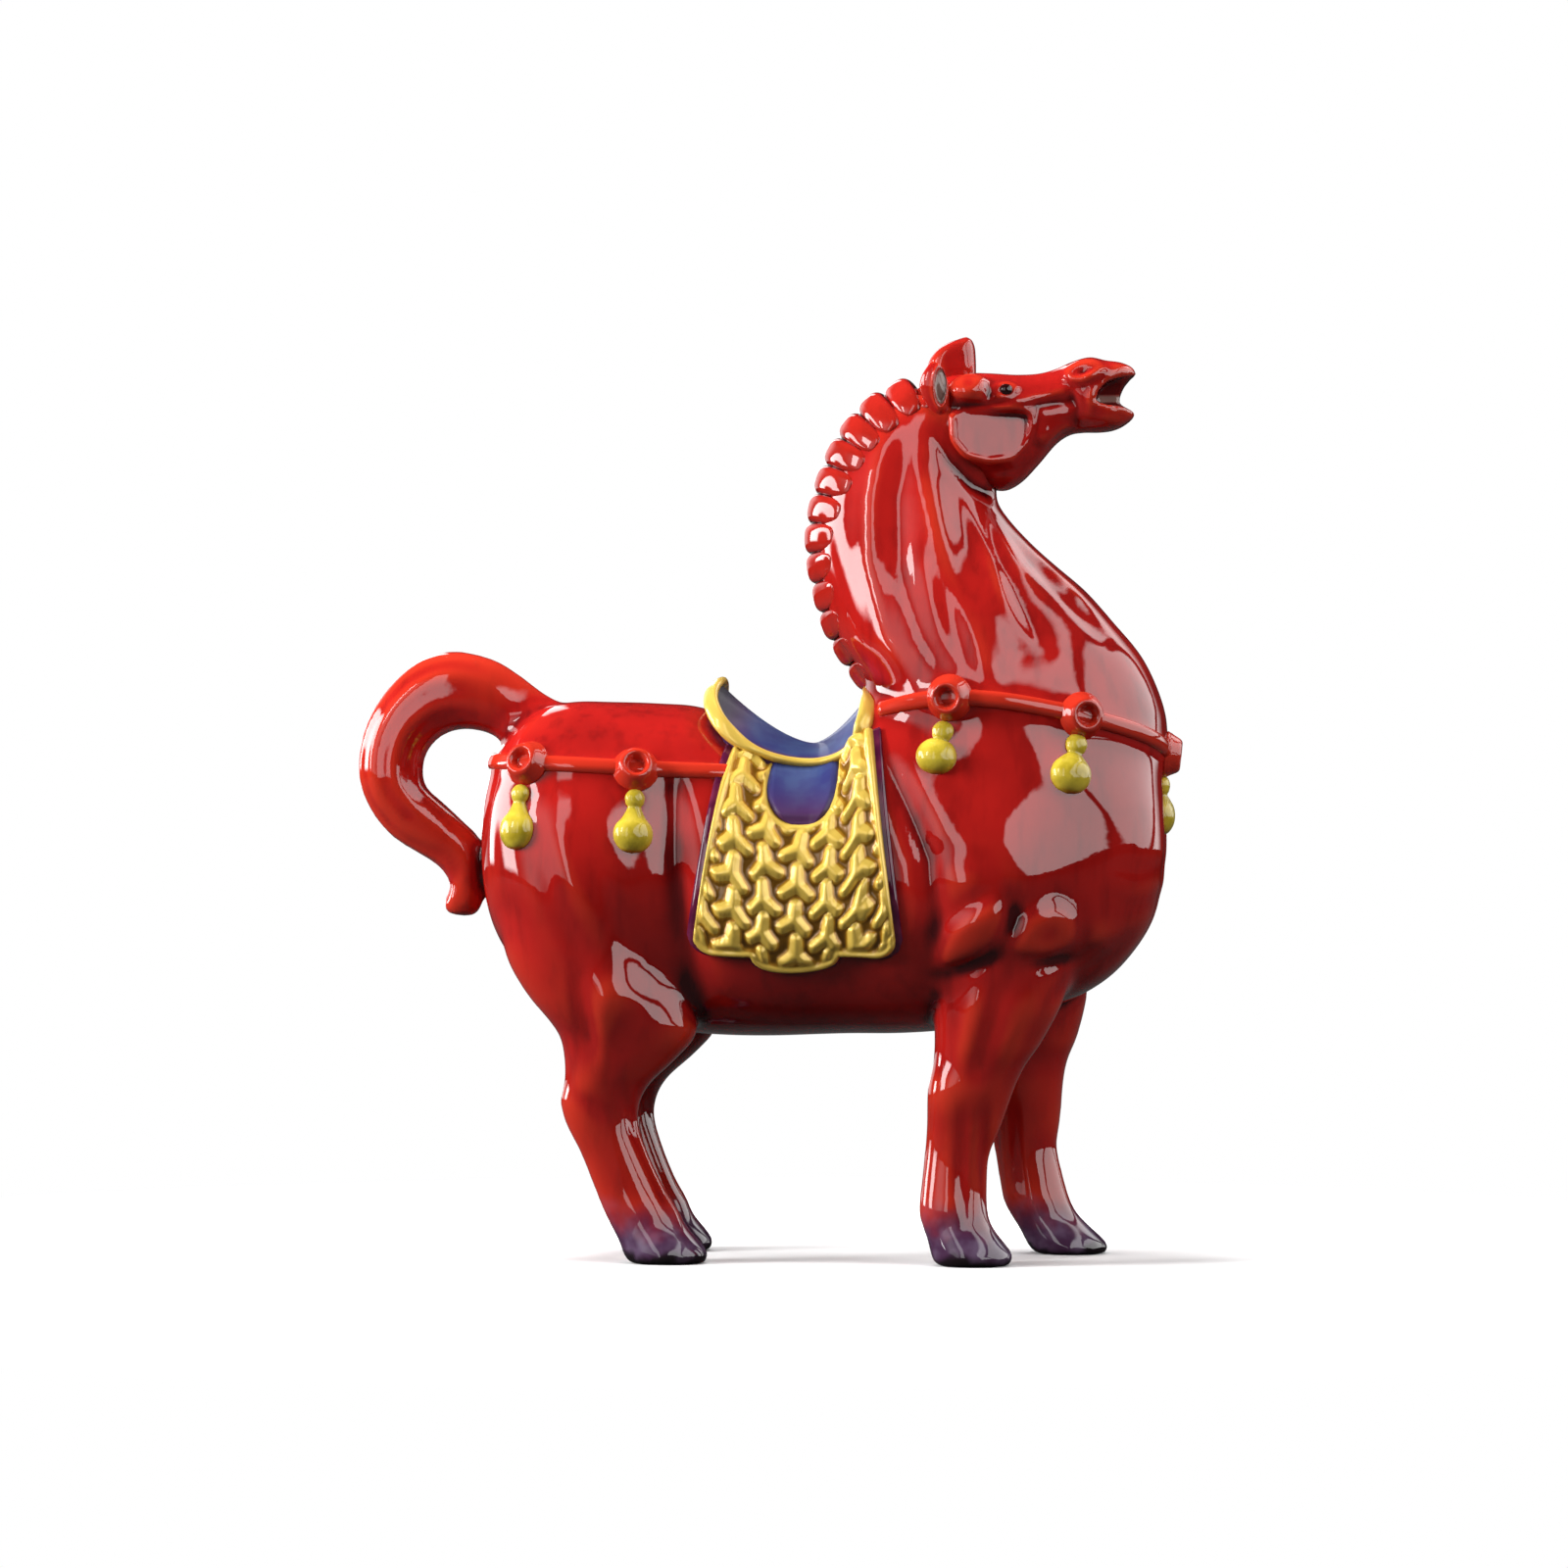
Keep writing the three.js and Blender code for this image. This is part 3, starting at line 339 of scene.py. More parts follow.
# trunk, neck, legs and tail: fused under one glaze
def trunk_rows(hips=90.0, shoulders=93.0):
    rear = [
        (0.002, -33, 56, 0.24 * hips), (0.022, -22, 40, 0.56 * hips), (0.06, -11, 27.5, 0.77 * hips),
        (0.13, -2.5, 17, 0.9 * hips), (0.22, 1, 9, 0.98 * hips), (0.33, 1, 4, hips),
        (0.445, 0.5, 1, 0.95 * hips), (0.56, -1, 0, 0.98 * BARREL),
        (0.65, -0.45 * SADDLE_DIP, -0.5, BARREL), (0.75, -0.92 * SADDLE_DIP, -0.5, BARREL),
        (0.86, -SADDLE_DIP, 0, 0.98 * BARREL), (0.94, -0.62 * SADDLE_DIP, 0.3, BARREL),
    ]
    fan = [
        (-3.6, -4.8, 0.09, 0.005, 0.96), (-3.4, -3.4, 0.27, 0.02, 0.99), (-3.3, -2.4, 0.48, 0.06, 1),
        (-3.3, -1.5, 0.66, 0.12, 1), (-3.3, -0.6, 0.8, 0.2, 0.985), (-3.4, 0.3, 0.895, 0.305, 0.965),
        (-3.6, 1.1, 0.96, 0.43, 0.94), (-3.8, 1.9, 0.995, 0.6, 0.915), (-4, 2.7, 1.004, 0.79, 0.89),
    ]
    rows = []
    for share, top, bottom, width in rear:
        x = RUMP_X + share * TRUNK_LENGTH
        rows.append(row(x, BACK + top, x, BELLY + bottom, width / 2, 0, 2.3, 0.04))
    for x, z, reach, rise, width in fan:
        rows.append(row(WITHERS_X + x, WITHERS + z, breast(reach), BELLY + rise * (CHEST - BELLY),
                        width * shoulders / 2, 0, 2.4, 0.06))
    return rows


def neck_rows(base=80.0, throat=34.0):
    stations = [
        (-4.4, 0.038, 1, -0.26, 0), (-7.6, 0.085, 1.013, -0.14, 0.06), (-11.2, 0.145, 0.988, -0.035, 0.14),
        (-14.8, 0.225, 0.924, 0.095, 0.28), (-17.4, 0.33, 0.822, 0.215, 0.43),
        (-19.2, 0.43, 0.731, 0.315, 0.56), (-19.4, 0.53, 0.635, 0.395, 0.68),
        (-17.3, 0.635, 0.55, 0.468, 0.78), (-13.5, 0.75, 0.468, 0.552, 0.88),
        (-8.2, 0.85, 0.42, 0.625, 0.96), (-1.2, 0.93, 0.425, 0.7, 1), (6, 0.98, 0.445, 0.79, 1.04),
        (12.5, 0.985, 0.465, 0.88, 1.1),
    ]
    rows = []
    for i, (crest, rise, reach, throat_rise, slim) in enumerate(stations):
        half = (base + (throat - base) * slim) / 2
        front = WITHERS + throat_rise * NECK_RISE if i else CHEST
        rows.append(row(WITHERS_X + crest, WITHERS + rise * NECK_RISE, breast(reach), front,
                        half, 0, 2.25, -0.05))
    return rows


KNEE, HOCK, FETLOCK = 55.5, 51.5, 17.0
CANNON, HOOF = 17.5, 25.0
FORE_PLACE = (breast(0.347), 27.5)
HIND_PLACE = (RUMP_X + 42.5, 27.0)
# x and z of the back edge, x and z of the front edge, width and, if any, shift away from the trunk. x and the
# shift count from the leg's own place
foreleg_rows = [
    (-2, BELLY + 47, 27, BELLY + 50, 1.5 * CANNON, -1), (-7, BELLY + 31, 30, BELLY + 35, 1.74 * CANNON),
    (-10.5, BELLY + 20, 32, BELLY + 25, 1.76 * CANNON), (-11.5, BELLY + 9, 30, BELLY + 13, 1.76 * CANNON),
    (-11.5, BELLY - 2, 23, BELLY - 1, 1.58 * CANNON), (-12, KNEE + 8, 17.5, KNEE + 8, 1.38 * CANNON),
    (-13.7, KNEE, 13.8, KNEE, 1.34 * CANNON), (-14, KNEE - 11, 9.5, KNEE - 12, 1.1 * CANNON),
    (-14.7, FETLOCK + 18, 6, FETLOCK + 18, CANNON), (-15.8, FETLOCK + 8, 5.3, FETLOCK + 8, 1.03 * CANNON),
    (-16.5, FETLOCK, 5.5, FETLOCK, 1.12 * CANNON), (-15.2, 0.7 * FETLOCK, 7, 0.72 * FETLOCK, 1.1 * CANNON),
    (-13.6, 0.44 * FETLOCK, 10.5, 0.44 * FETLOCK, 0.9 * HOOF), (-12.6, 3, 13.6, 3.4, HOOF),
    (-11.4, 0.5, 13.2, 0.5, HOOF), (-10.6, 0, 12.4, 0, 0.94 * HOOF),
]
hind_rows = [
    (-26, BELLY + 62, 20, BELLY + 64, 1.5 * CANNON, -1),
    (-30, BELLY + 43, 24, BELLY + 46, 1.76 * CANNON, -0.5),
    (-31.5, BELLY + 28, 26, BELLY + 30, 1.84 * CANNON, -0.5),
    (-24.5, BELLY + 15, 28, BELLY + 17, 1.84 * CANNON), (-18, BELLY + 7, 29.5, BELLY + 7, 1.74 * CANNON),
    (-13.6, BELLY, 29.6, BELLY, 1.6 * CANNON),
    (-12.4, HOCK + 13, 22.6, HOCK + 13, 1.42 * CANNON), (-12.6, HOCK + 6, 15, HOCK + 6, 1.26 * CANNON),
    (-14, HOCK, 11.6, HOCK, 1.15 * CANNON), (-12.3, HOCK - 7, 11, HOCK - 7, 1.06 * CANNON),
    (-7.5, FETLOCK + 18, 14, FETLOCK + 18.5, CANNON), (-3.3, FETLOCK + 7.5, 19.2, FETLOCK + 7.5, CANNON),
    (-0.3, FETLOCK, 24, FETLOCK, 1.08 * CANNON), (2.4, 0.68 * FETLOCK, 26.5, 0.7 * FETLOCK, 1.1 * CANNON),
    (5, 0.4 * FETLOCK, 30.5, 0.44 * FETLOCK, 0.9 * HOOF), (6.3, 3, 33.6, 3.4, HOOF),
    (7.7, 0.5, 33.4, 0.5, HOOF), (8.5, 0, 32.6, 0, 0.94 * HOOF),
]


def leg(name, rows, place, side, step=0, fade=1):
    """The foot stands a step forward, which is less higher up and nothing at the height where it fades."""
    def forward(x, z):
        return place[0] + x + step * max(0.0, 1 - z / fade)

    sections = [row(forward(ax, az), az, forward(bx, bz), bz, width / 2, side * (place[1] + sum(shift)), 2.15)
                for ax, az, bx, bz, width, *shift in rows]
    return loft(name, rings_of(sections, 6, 48))


# tail: rows from the croup round the loop to the flicked tip. How far behind the rump and above the back the
# outer edge is, the same for the inner edge, and the width
TAIL_HALF, STRANDS = 10.5, 9
TAIL_X, TAIL_Y, TAIL_Z = -78, 14, 106       # the tail is behind, within and above these
tail_rows = [
    (-26, 0, -16, -13, 0.72), (-18.5, 4.2, -10, -13.5, 0.86), (-11, 9.8, -5, -11.5, 0.92),
    (-2, 15.2, 0.7, -9, 0.98), (10.5, 18, 7, -8, 1), (21.4, 15.6, 12.3, -9, 1), (31, 8.2, 17, -12, 1),
    (38.4, -2.2, 20, -16.6, 1), (42.2, -13.7, 20.8, -21.6, 1), (42.3, -25, 20, -26, 1),
    (38.4, -34.8, 16.4, -29.6, 0.96), (32, -42.8, 11.8, -33.6, 0.9), (23.5, -48.4, 7.2, -37.8, 0.82),
    (16.6, -52.6, 2.4, -42.6, 0.74),
    (12.6, -57.6, 0.2, -50, 0.68), (13.6, -62.4, 0.3, -58.5, 0.62), (14.4, -66, 1.2, -66, 0.54),
    (12.6, -68.4, 4.2, -69.4, 0.34),
]
tail_rings = rings_of([row(RUMP_X - ox, BACK + oz, RUMP_X - ix, BACK + iz, width * TAIL_HALF, 0, 2.1)
                       for ox, oz, ix, iz, width in tail_rows], 10, 48)


def comb_tail(piece):
    """Draws the strands down the tail: soft grooves along it that fade out towards the croup."""
    points = points_of(piece)
    middles = tail_rings.mean(1)
    outer = tail_rings[:, 0] - middles
    half = np.linalg.norm(outer, axis=1)
    outer /= half[:, None]
    x, y, z = points.T
    on_tail = np.where((x < TAIL_X) & (np.abs(y) < TAIL_Y) & (z > TAIL_Z))[0]
    nearest = np.array([np.argmin(((middles - points[k]) ** 2).sum(1)) for k in on_tail])
    away = points[on_tail] - middles[nearest]
    close = np.linalg.norm(away, axis=1) < 1.35 * np.maximum(half[nearest], 8)
    on_tail, nearest, away = on_tail[close], nearest[close], away[close]
    share = nearest / (len(middles) - 1)
    angle = np.arctan2(away[:, 1] / TAIL_HALF, (away * outer[nearest]).sum(1) / half[nearest])
    fade = smoothstep(0.12, 0.36, share) * (1 - 0.6 * smoothstep(0.86, 1.0, share))
    bend = angle + 0.35 * share + 0.1 * np.sin(9 * share)
    strand = np.abs(np.sin(STRANDS / 2 * bend)) ** 0.7
    depth = np.zeros(len(points))
    depth[on_tail] = 1.6 * fade * (1 - strand)
    for _ in range(4):
        depth = neighbours_mean(piece, depth)
    swell(piece, -depth)


# the cloths are laid on a plain trunk, without legs and muscle lines, that is removed later
thigh = (RUMP_X + 30, 40, BELLY + 36), (24, 20, 30)
flank_hollow = (RUMP_X + 62, 40, BELLY + 30), (9, 20, 24), -2.5
shoulder = (breast(0.42), 44, BELLY + 50), (20, 22, 28), 3.5
plain_trunk = loft("plain_trunk", rings_of(trunk_rows() + neck_rows()[:1], 6, 96))
raise_clay(plain_trunk, [(*thigh, 4.5), flank_hollow, shoulder])
skin = joined("horse_skin", [
    loft("trunk_and_neck", rings_of(trunk_rows() + neck_rows(), 6, 96)),
    leg("right_foreleg_form", foreleg_rows, FORE_PLACE, -1),
    leg("left_foreleg_form", foreleg_rows, FORE_PLACE, 1, 28.5, BELLY + 30),
    leg("right_hind_form", hind_rows, HIND_PLACE, -1),
    leg("left_hind_form", hind_rows, HIND_PLACE, 1, -5, BELLY - 5),
    loft("tail_form", tail_rings),
])
apply_modifier(skin, "REMESH", mode="VOXEL", voxel_size=SKIN_GRAIN * MM, adaptivity=0.0)
apply_modifier(skin, "SMOOTH", factor=0.5, iterations=10)
# where the legs and the tail grow out of the trunk the clay is smoothed over
for place, reach, rounds in [
    ((80, 40, 101), (25, 30, 16), 64), ((-52, 40, 106), (30, 30, 22), 64), ((-84, 0, 166), (16, 16, 16), 21),
]:
    soften(skin, place, reach, rounds)
raise_clay(skin, [
    (*thigh, 4), flank_hollow, shoulder,
    ((breast(0.97), 19, BELLY + 52), (20, 13, 26), 2),
    ((breast(1), 0, BELLY + 50), (20, 6, 34), -2),
    ((WITHERS_X + 40, 30, WITHERS + 28), (9, 18, 30), 2.2),
    ((WITHERS_X + 20, 26, WITHERS + 48), (9, 16, 34), 1.8),
    # two pads over the top of the foreleg and one in front of them
    ((69.2, 42, 105.6), (13, 18, 7.4), 2.8, 2, 38),
    ((92.6, 42, 106.4), (13.2, 20, 7.6), 3, 2, 32),
    ((108, 36, 106), (8, 16, 7), 1.5, 1, 40),
    # stifle, hock and knee
    ((-45, 38, 85), (8, 14, 8), 1.5),
    ((-54, 32, 60), (5, 10, 8), 0.9),
    ((62, 34, 56), (5, 10, 8), 0.7),
])
# muscle lines of the shoulder, breast, flank, thigh and legs: width, then depth, below zero for a ridge
for line, width, depth in [
    ([(41, 164), (46, 153), (52, 140), (56.3, 129), (57.8, 113), (56.4, 93)], 4, 1.9),
    ([(56.7, 133), (67.6, 129.3), (73.8, 128.3), (76.5, 122.1), (72.5, 115.9)], 4.2, 0.6),
    ([(82, 119), (83.4, 111.5), (81.6, 104)], 2.4, 1.2),
    ([(57.4, 92.5), (69.2, 95.4), (78.5, 99.2)], 2.2, 1),
    ([(81.5, 99), (90.9, 96.6), (103.3, 97.4), (112, 102.6)], 2.4, 1.1),
    ([(60, 101), (65.5, 110.5), (74.5, 117.5)], 2.4, 0.6),
    ([(97.5, 119), (103.6, 112), (104.5, 103)], 2.6, 0.9),
    ([(94, 84), (104, 92.5), (114, 99), (122, 106)], 3.2, 1),
    ([(-27.5, 160), (-26, 143), (-25.4, 128), (-23.4, 110), (-19.5, 93), (-14.5, 83)], 5.2, 2.2),
    ([(-70, 138), (-64.1, 120.5), (-59.5, 108), (-53.3, 95)], 4.6, 0.9),
    ([(-57, 140), (-50.2, 123.7), (-42.4, 108.1), (-36.2, 95)], 4.6, 0.9),
    ([(-55.7, 94), (-54.2, 80), (-51.7, 68)], 3, 0.9),
    ([(-46.5, 88), (-48, 74), (-49.5, 60)], 3.2, -0.8),
    ([(-59.5, 54.5), (-53, 51.5), (-47, 46.2)], 2.4, 0.5),
    ([(-43, 57), (-39.5, 43), (-32, 27), (-27, 15)], 1.6, 0.9),
    ([(-37.8, 57), (-34.7, 43), (-27, 27), (-22.6, 16)], 1.5, 0.8),
    ([(80.5, 91), (75.8, 76), (71.2, 61)], 3, 0.9),
    ([(71.5, 90), (69, 76), (65.8, 60)], 3, -0.7),
    ([(90, 88), (83.5, 74), (78, 60)], 3, -0.7),
    ([(67, 50), (65.8, 30), (67.2, 12)], 1.7, 0.9),
    ([(73.3, 52), (73, 33), (75, 13)], 1.7, 0.9),
    ([(79.4, 50), (79.4, 33), (81.6, 16)], 1.7, 0.7),
]:
    cut_line(skin, line, width, depth, ends=0.45)
# folds across the front of the breast
for line in ([(133, 128.5), (122, 125), (113, 127)], [(131, 119), (121, 114), (112, 117)]):
    cut_line(skin, line, 2.8, 0.4, facing=(-1, -0.9), ends=0.7)
# long muscle bands of the neck and folds of the throat
for line, width, depth in [
    ([(44, 274), (38.5, 262), (35.5, 245), (35.5, 224), (41, 200), (50, 184)], 3.6, -0.9),
    ([(47, 262), (44.5, 245), (46.5, 222), (54, 200), (63, 184)], 3.6, 0.9),
    ([(51.2, 258), (56, 240), (62, 220), (71.5, 197), (77.7, 180)], 3.6, -1),
    ([(60, 254), (66, 236), (74, 216), (85, 194)], 3, 0.8),
    ([(70, 246), (76, 230), (84, 212), (93, 196)], 2.6, 1.3),
    ([(76, 243), (86, 227), (99, 212), (112, 198)], 2.6, 1.2),
    ([(80, 241), (92, 226), (106, 212)], 2.4, -0.7),
    ([(56, 266), (61, 257), (68, 250), (76, 246), (84, 246)], 2, 1.6),
]:
    cut_line(skin, line, width, depth)
# the croup runs down into the root of the tail with a small dent under it
raise_clay(skin, [((-79, 5, 170), (5, 7, 4), -1.2)])
apply_modifier(skin, "SMOOTH", factor=0.5, iterations=3)
comb_tail(skin)
# the soles stand flat on the floor
set_points(skin, np.maximum(points_of(skin), (-FAR, -FAR, 0)))


def cast_on(piece):
    work = bmesh.new()
    work.from_mesh(piece.data)
    tree = BVHTree.FromBMesh(work)
    work.free()
    return tree


skin_tree = cast_on(skin)
trunk_tree = cast_on(plain_trunk)


def feel(tree, start, way):
    """Where a line meets a skin, and the way the skin faces there."""
    at, out, _, _ = tree.ray_cast(Vector(metres(start)), Vector(way))
    return millimetres(at), np.array(out)


def touch(tree, target, direction):
    """The same for a line from outside towards the target."""
    direction = np.array(direction, float)
    return feel(tree, target + FAR * direction, -direction)


def flank(x, degrees, side):
    up, out = cos_sin(degrees)
    return touch(trunk_tree, (x, 0, TRUNK_MIDDLE), (0, side * out, up))


def round_post(post_x, degrees, z):
    """Out from a post inside the horse, so that the tail is not in the way."""
    return feel(skin_tree, (post_x, 0, z), (*cos_sin(degrees), 0))


# the breast strap climbs to the withers, the rump strap dips a little to the saddle
BREAST_POST, BREAST_LINE, BREAST_CLIMB = breast(0.36), CHEST + 2.4, 17.5
RUMP_POST, RUMP_LINE, RUMP_DIP = RUMP_X + 44, BACK - 20.5, 2.2


def breast_spot(degrees, below=0.0):
    climb = BREAST_CLIMB * math.sin(math.radians(0.93 * abs(degrees)))
    return round_post(BREAST_POST, degrees, BREAST_LINE + climb - below)


def rump_spot(degrees, below=0.0):
    dip = RUMP_DIP * math.cos(math.radians(degrees))
    return round_post(RUMP_POST, 180 + degrees, RUMP_LINE + dip - below)


def end_angle(spot, x, ahead):
    """How far round a strap runs until it is at x, coming from ahead (1) or behind (-1)."""
    degrees = 92.0
    while degrees < 160 and (spot(degrees)[0][0] - x) * ahead > 0:
        degrees += 1
    return degrees


CLOTH_X, TOP_WIDTH, HEM_WIDTH, CLOTH_DROP = WITHERS_X - 21.1, 46.8, 65.0, 83.0
breast_end = end_angle(breast_spot, WITHERS_X + 5, 1)
rump_end = end_angle(rump_spot, CLOTH_X - TOP_WIDTH / 2 - 1.5, -1)
# place, strap it hangs on, degrees round it, lean of the bell, ball to lobe, ball, lobe width and length
harness = [("breast", breast_spot, 0, 0, 9.6, 3.4, 6.0, 6.4)]
for place, spot, degrees, lean, *sizes in [
    ("shoulder", breast_spot, 46, 6, 9.8, 3.6, 6.6, 6.4), ("neck", breast_spot, 100, 5, 8.4, 3.7, 6.6, 6.0),
    ("hip", rump_spot, -105, 2, 11.2, 3.3, 6.4, 6.3), ("rump", rump_spot, -55, -1, 11.4, 3.2, 5.9, 6.7),
]:
    harness.append((f"right_{place}", spot, -degrees, -lean, *sizes))
    harness.append((f"left_{place}", spot, degrees, lean, *sizes))
raise_along(skin, [breast_spot(a)[0] for a in np.linspace(-breast_end - 2, breast_end + 2, 150)], 4.2, 1.0)
raise_along(skin, [rump_spot(a)[0] for a in np.linspace(-rump_end, rump_end, 150)], 4.0, 1.0)
raise_along(skin, [spot(a)[0] for _, spot, a, *_ in harness], 6.4, 1.0)
mark_pools_shade_and_highlights(skin, 0.9)
skin_tree = cast_on(skin)


# head
head_rows = [
    (0.02, -2, 0.14, 0.68, 0.6 * HEAD_WIDTH), (0.06, 2, 0.22, 0.86, 0.86 * HEAD_WIDTH),
    (0.14, 4.6, 0.3, 0.96, 0.98 * HEAD_WIDTH), (0.24, 5.2, 0.39, 1, HEAD_WIDTH),
    (0.34, 5, 0.47, 0.93, 0.97 * HEAD_WIDTH), (0.45, 4.5, 0.55, 0.78, 0.84 * HEAD_WIDTH),
    (0.55, 4.8, 0.63, 0.61, 1.06 * MUZZLE_WIDTH), (0.63, 6.2, 0.695, 0.53, 0.98 * MUZZLE_WIDTH),
    (0.71, 8.6, 0.76, 0.51, MUZZLE_WIDTH), (0.79, 10, 0.83, 0.508, 1.04 * MUZZLE_WIDTH),
    (0.865, 8.8, 0.89, 0.49, 0.99 * MUZZLE_WIDTH), (0.93, 8, 0.945, 0.44, 0.85 * MUZZLE_WIDTH),
    (0.98, 6.4, 0.985, 0.385, 0.62 * MUZZLE_WIDTH), (0.998, 4.6, 0.998, 0.32, 0.36 * MUZZLE_WIDTH),
]
head = loft("head", rings_of([row(head_x(top), POLL + rise, head_x(bottom), POLL + 5 - depth * JAW_DEPTH,
                                  width / 2, 0, 2.35, -0.04)
                              for top, rise, bottom, depth, width in head_rows], 8, 80))


def side_block(name, outline, y_low, y_high):
    """A block with that outline in the side view, to cut with."""
    count = len(outline)
    points = [(x, y, z) for y in (y_low, y_high) for x, z in outline]
    faces = [tuple(range(count)), tuple(range(2 * count - 1, count - 1, -1))]
    faces += [(i, i + count, (i + 1) % count + count, (i + 1) % count) for i in range(count)]
    return link(name, points, faces)


def cut_with(piece, cutter):
    apply_modifier(piece, "BOOLEAN", operation="DIFFERENCE", object=cutter, solver="EXACT")
    bpy.data.objects.remove(cutter)


PALATE = 3.8        # half the width of the palate and tongue that fill the back of the mouth
mouth_side = [(106.9, 276.9), (108.1, 280), (111, 283), (115, 285), (118.2, 285.6), (123, 285.6),
              (123, 272.6), (119.3, 273.4), (116.5, 274.5), (111.2, 275.3), (108.5, 276)]
mouth_front = [(118.8, 285.6), (123, 285.6), (123, 272.6), (119.3, 273.4), (115.6, 275.6), (114.7, 277),
               (114.8, 278.8), (116, 281.6)]
cut_with(head, side_block("mouth_gap", mouth_front, -MUZZLE_WIDTH, MUZZLE_WIDTH))
for side in (-1, 1):
    cut_with(head, side_block("mouth_side", mouth_side, *sorted((side * PALATE, side * MUZZLE_WIDTH))))
apply_modifier(head, "REMESH", mode="VOXEL", voxel_size=HEAD_GRAIN * MM, adaptivity=0.0)
apply_modifier(head, "SMOOTH", factor=0.5, iterations=5)
EYE_X, EYE_Z = 78.8, 280.0


def depth_inside(points, outline):
    """How far each point is inside an outline in the side view, below zero outside it."""
    flat = points[:, [0, 2]]
    outline = np.array(outline, float)
    near = np.full(len(flat), FAR)
    turns = np.zeros(len(flat), bool)
    for a, b in zip(outline, np.roll(outline, -1, axis=0)):
        near = np.minimum(near, along_step(flat, a, b)[1])
        rises = (a[1] > flat[:, 1]) != (b[1] > flat[:, 1])
        turns ^= rises & (flat[:, 0] < a[0] + (flat[:, 1] - a[1]) * (b[0] - a[0]) / (b[1] - a[1] + 1e-9))
    return np.where(turns, near, -near)


# the cheek is a plate: flat, proud of the throat at the back and flush with the muzzle in front
CHEEK_HALF, TAPER, LEAN = 14.875, 0.25, 0.11
cheek = [(61.6, 272.6), (60.6, 268), (61.6, 262.6), (65.6, 258.2), (73.3, 256.4), (80.6, 257.8),
         (85, 262.6), (86.2, 268), (85.4, 272.4), (78, 273.2), (69, 273.4)]
muzzle_side = [(88.8, 276.4), (88.8, 268), (90.5, 263.5), (96, 266), (100.2, 269.6), (99.6, 277.6),
               (94, 277.8)]
# half width, or none to take it from the casting, softness of the edge and how flat
for corners, wide, edge, amount in ((cheek, CHEEK_HALF, 1.5, 1.0), (muzzle_side, None, 3.0, 0.75)):
    points = points_of(head)
    outline = through(corners, 6, closed=True)[:-1]
    inside = depth_inside(points, outline)
    middle = outline.mean(0)
    if wide is None:
        wide = np.percentile(np.abs(points[(inside > 0) & (np.abs(points[:, 1]) > 6), 1]), 70)
    level = wide - TAPER * (points[:, 0] - middle[0]) - LEAN * (points[:, 2] - middle[1])
    plate = amount * smoothstep(-edge, edge, inside) * smoothstep(5.0, 7.0, np.abs(points[:, 1]))
    points[:, 1] += plate * (np.sign(points[:, 1]) * level - points[:, 1])
    set_points(head, points)
raise_clay(head, [
    ((67, 14, 280), (6.6, 7, 4.6), 4.4, 2, 8),
    ((78.9, 14, 280.1), (4.4, 6, 3.4), 1.5, 2, 1),
    ((EYE_X, 14, EYE_Z), (2.3, 5, 1.9), -1.5),
    ((103.4, 9, 285.9), (6.6, 6, 4.4), 1.9, 2, 15),
    ((103.8, 10, 286.3), (3.8, 5, 1.6), -1.6, 1, 15),
    ((113.5, 7, 286.8), (6.5, 7, 2.6), 1.2),
    ((105, 9, 277.5), (2.4, 6, 5.5), 0.9),
    ((113, 8, 270.8), (6.5, 7, 3), 1.3),
    ((95, 9, 272.5), (8, 7, 3.2), 0.5),
])
for line, width, depth in [
    ([(61.8, 272), (61.8, 264), (66, 258.8), (73.3, 257), (80.6, 258.4)], 1.2, -0.6),
    ([(58.8, 272), (59, 262), (64.4, 255), (73.3, 253), (82, 254.6), (87, 262), (87.2, 272)], 1.6, 0.6),
    ([(60.5, 274.4), (70.7, 274.6), (80, 274.4), (86, 274.6)], 1.4, 0.3),
    ([(88.8, 276), (88.8, 268.6), (87.6, 261)], 1.2, 0.4),
    ([(80.8, 276.1), (91.4, 278.3), (99, 280)], 2, -0.7),
    ([(84, 274.4), (92, 275.8), (98, 277.2)], 1.6, 0.4),
    ([(61.6, 277.2), (67.2, 275.2), (73.1, 274.7), (79.7, 276.6), (83.2, 279.6)], 1.2, 0.7),
    ([(72.6, 283.6), (73.6, 280), (73.2, 276.4)], 1.2, 0.6),
    ([(62.6, 284.2), (68, 285.6), (75, 284.6), (82, 283.6)], 1.4, 0.4),
    ([(99.2, 281), (101.6, 274.6), (101, 268.2)], 1.5, 0.5),
    ([(104.6, 281.2), (103.8, 277.2), (104.4, 272.6)], 1.3, 0.4),
    ([(96.4, 284), (99.6, 281.6), (104.5, 281.4), (109.6, 284.2)], 1.5, 0.6),
    ([(96, 270.5), (104, 269.6), (112, 268.8)], 1.6, 0.3),
]:
    cut_line(head, line, width, depth, ends=0.4)
apply_modifier(head, "SMOOTH", factor=0.5, iterations=3)
mark_pools_shade_and_highlights(head, 1.8)
x, y, z = points_of(head).T
in_mouth = (smoothstep(0.1, 0.5, depth_inside(points_of(head), mouth_side))
            * (1 - smoothstep(PALATE, PALATE + 0.5, np.abs(y))))
tongue = smoothstep(276.2, 276.6, z) * (1 - smoothstep(278.6, 279.0, z))
set_attribute(head, "pale", in_mouth * tongue * smoothstep(107.4, 108.4, x))
set_attribute(head, "dark", in_mouth * (1 - tongue))
head_tree = cast_on(head)


def basis(along, out):
    """Columns: x along the piece, y across it, z out of what it lies on."""
    out = unit(out)
    across = unit(np.cross(out, along))
    return np.stack([np.cross(across, out), across, out], axis=1)


def lay(piece, at, turn):
    """Puts a piece that was modelled round the origin in its place, in its mesh."""
    set_points(piece, (points_of(piece) + CENTRING) @ turn.T + at)
    return piece


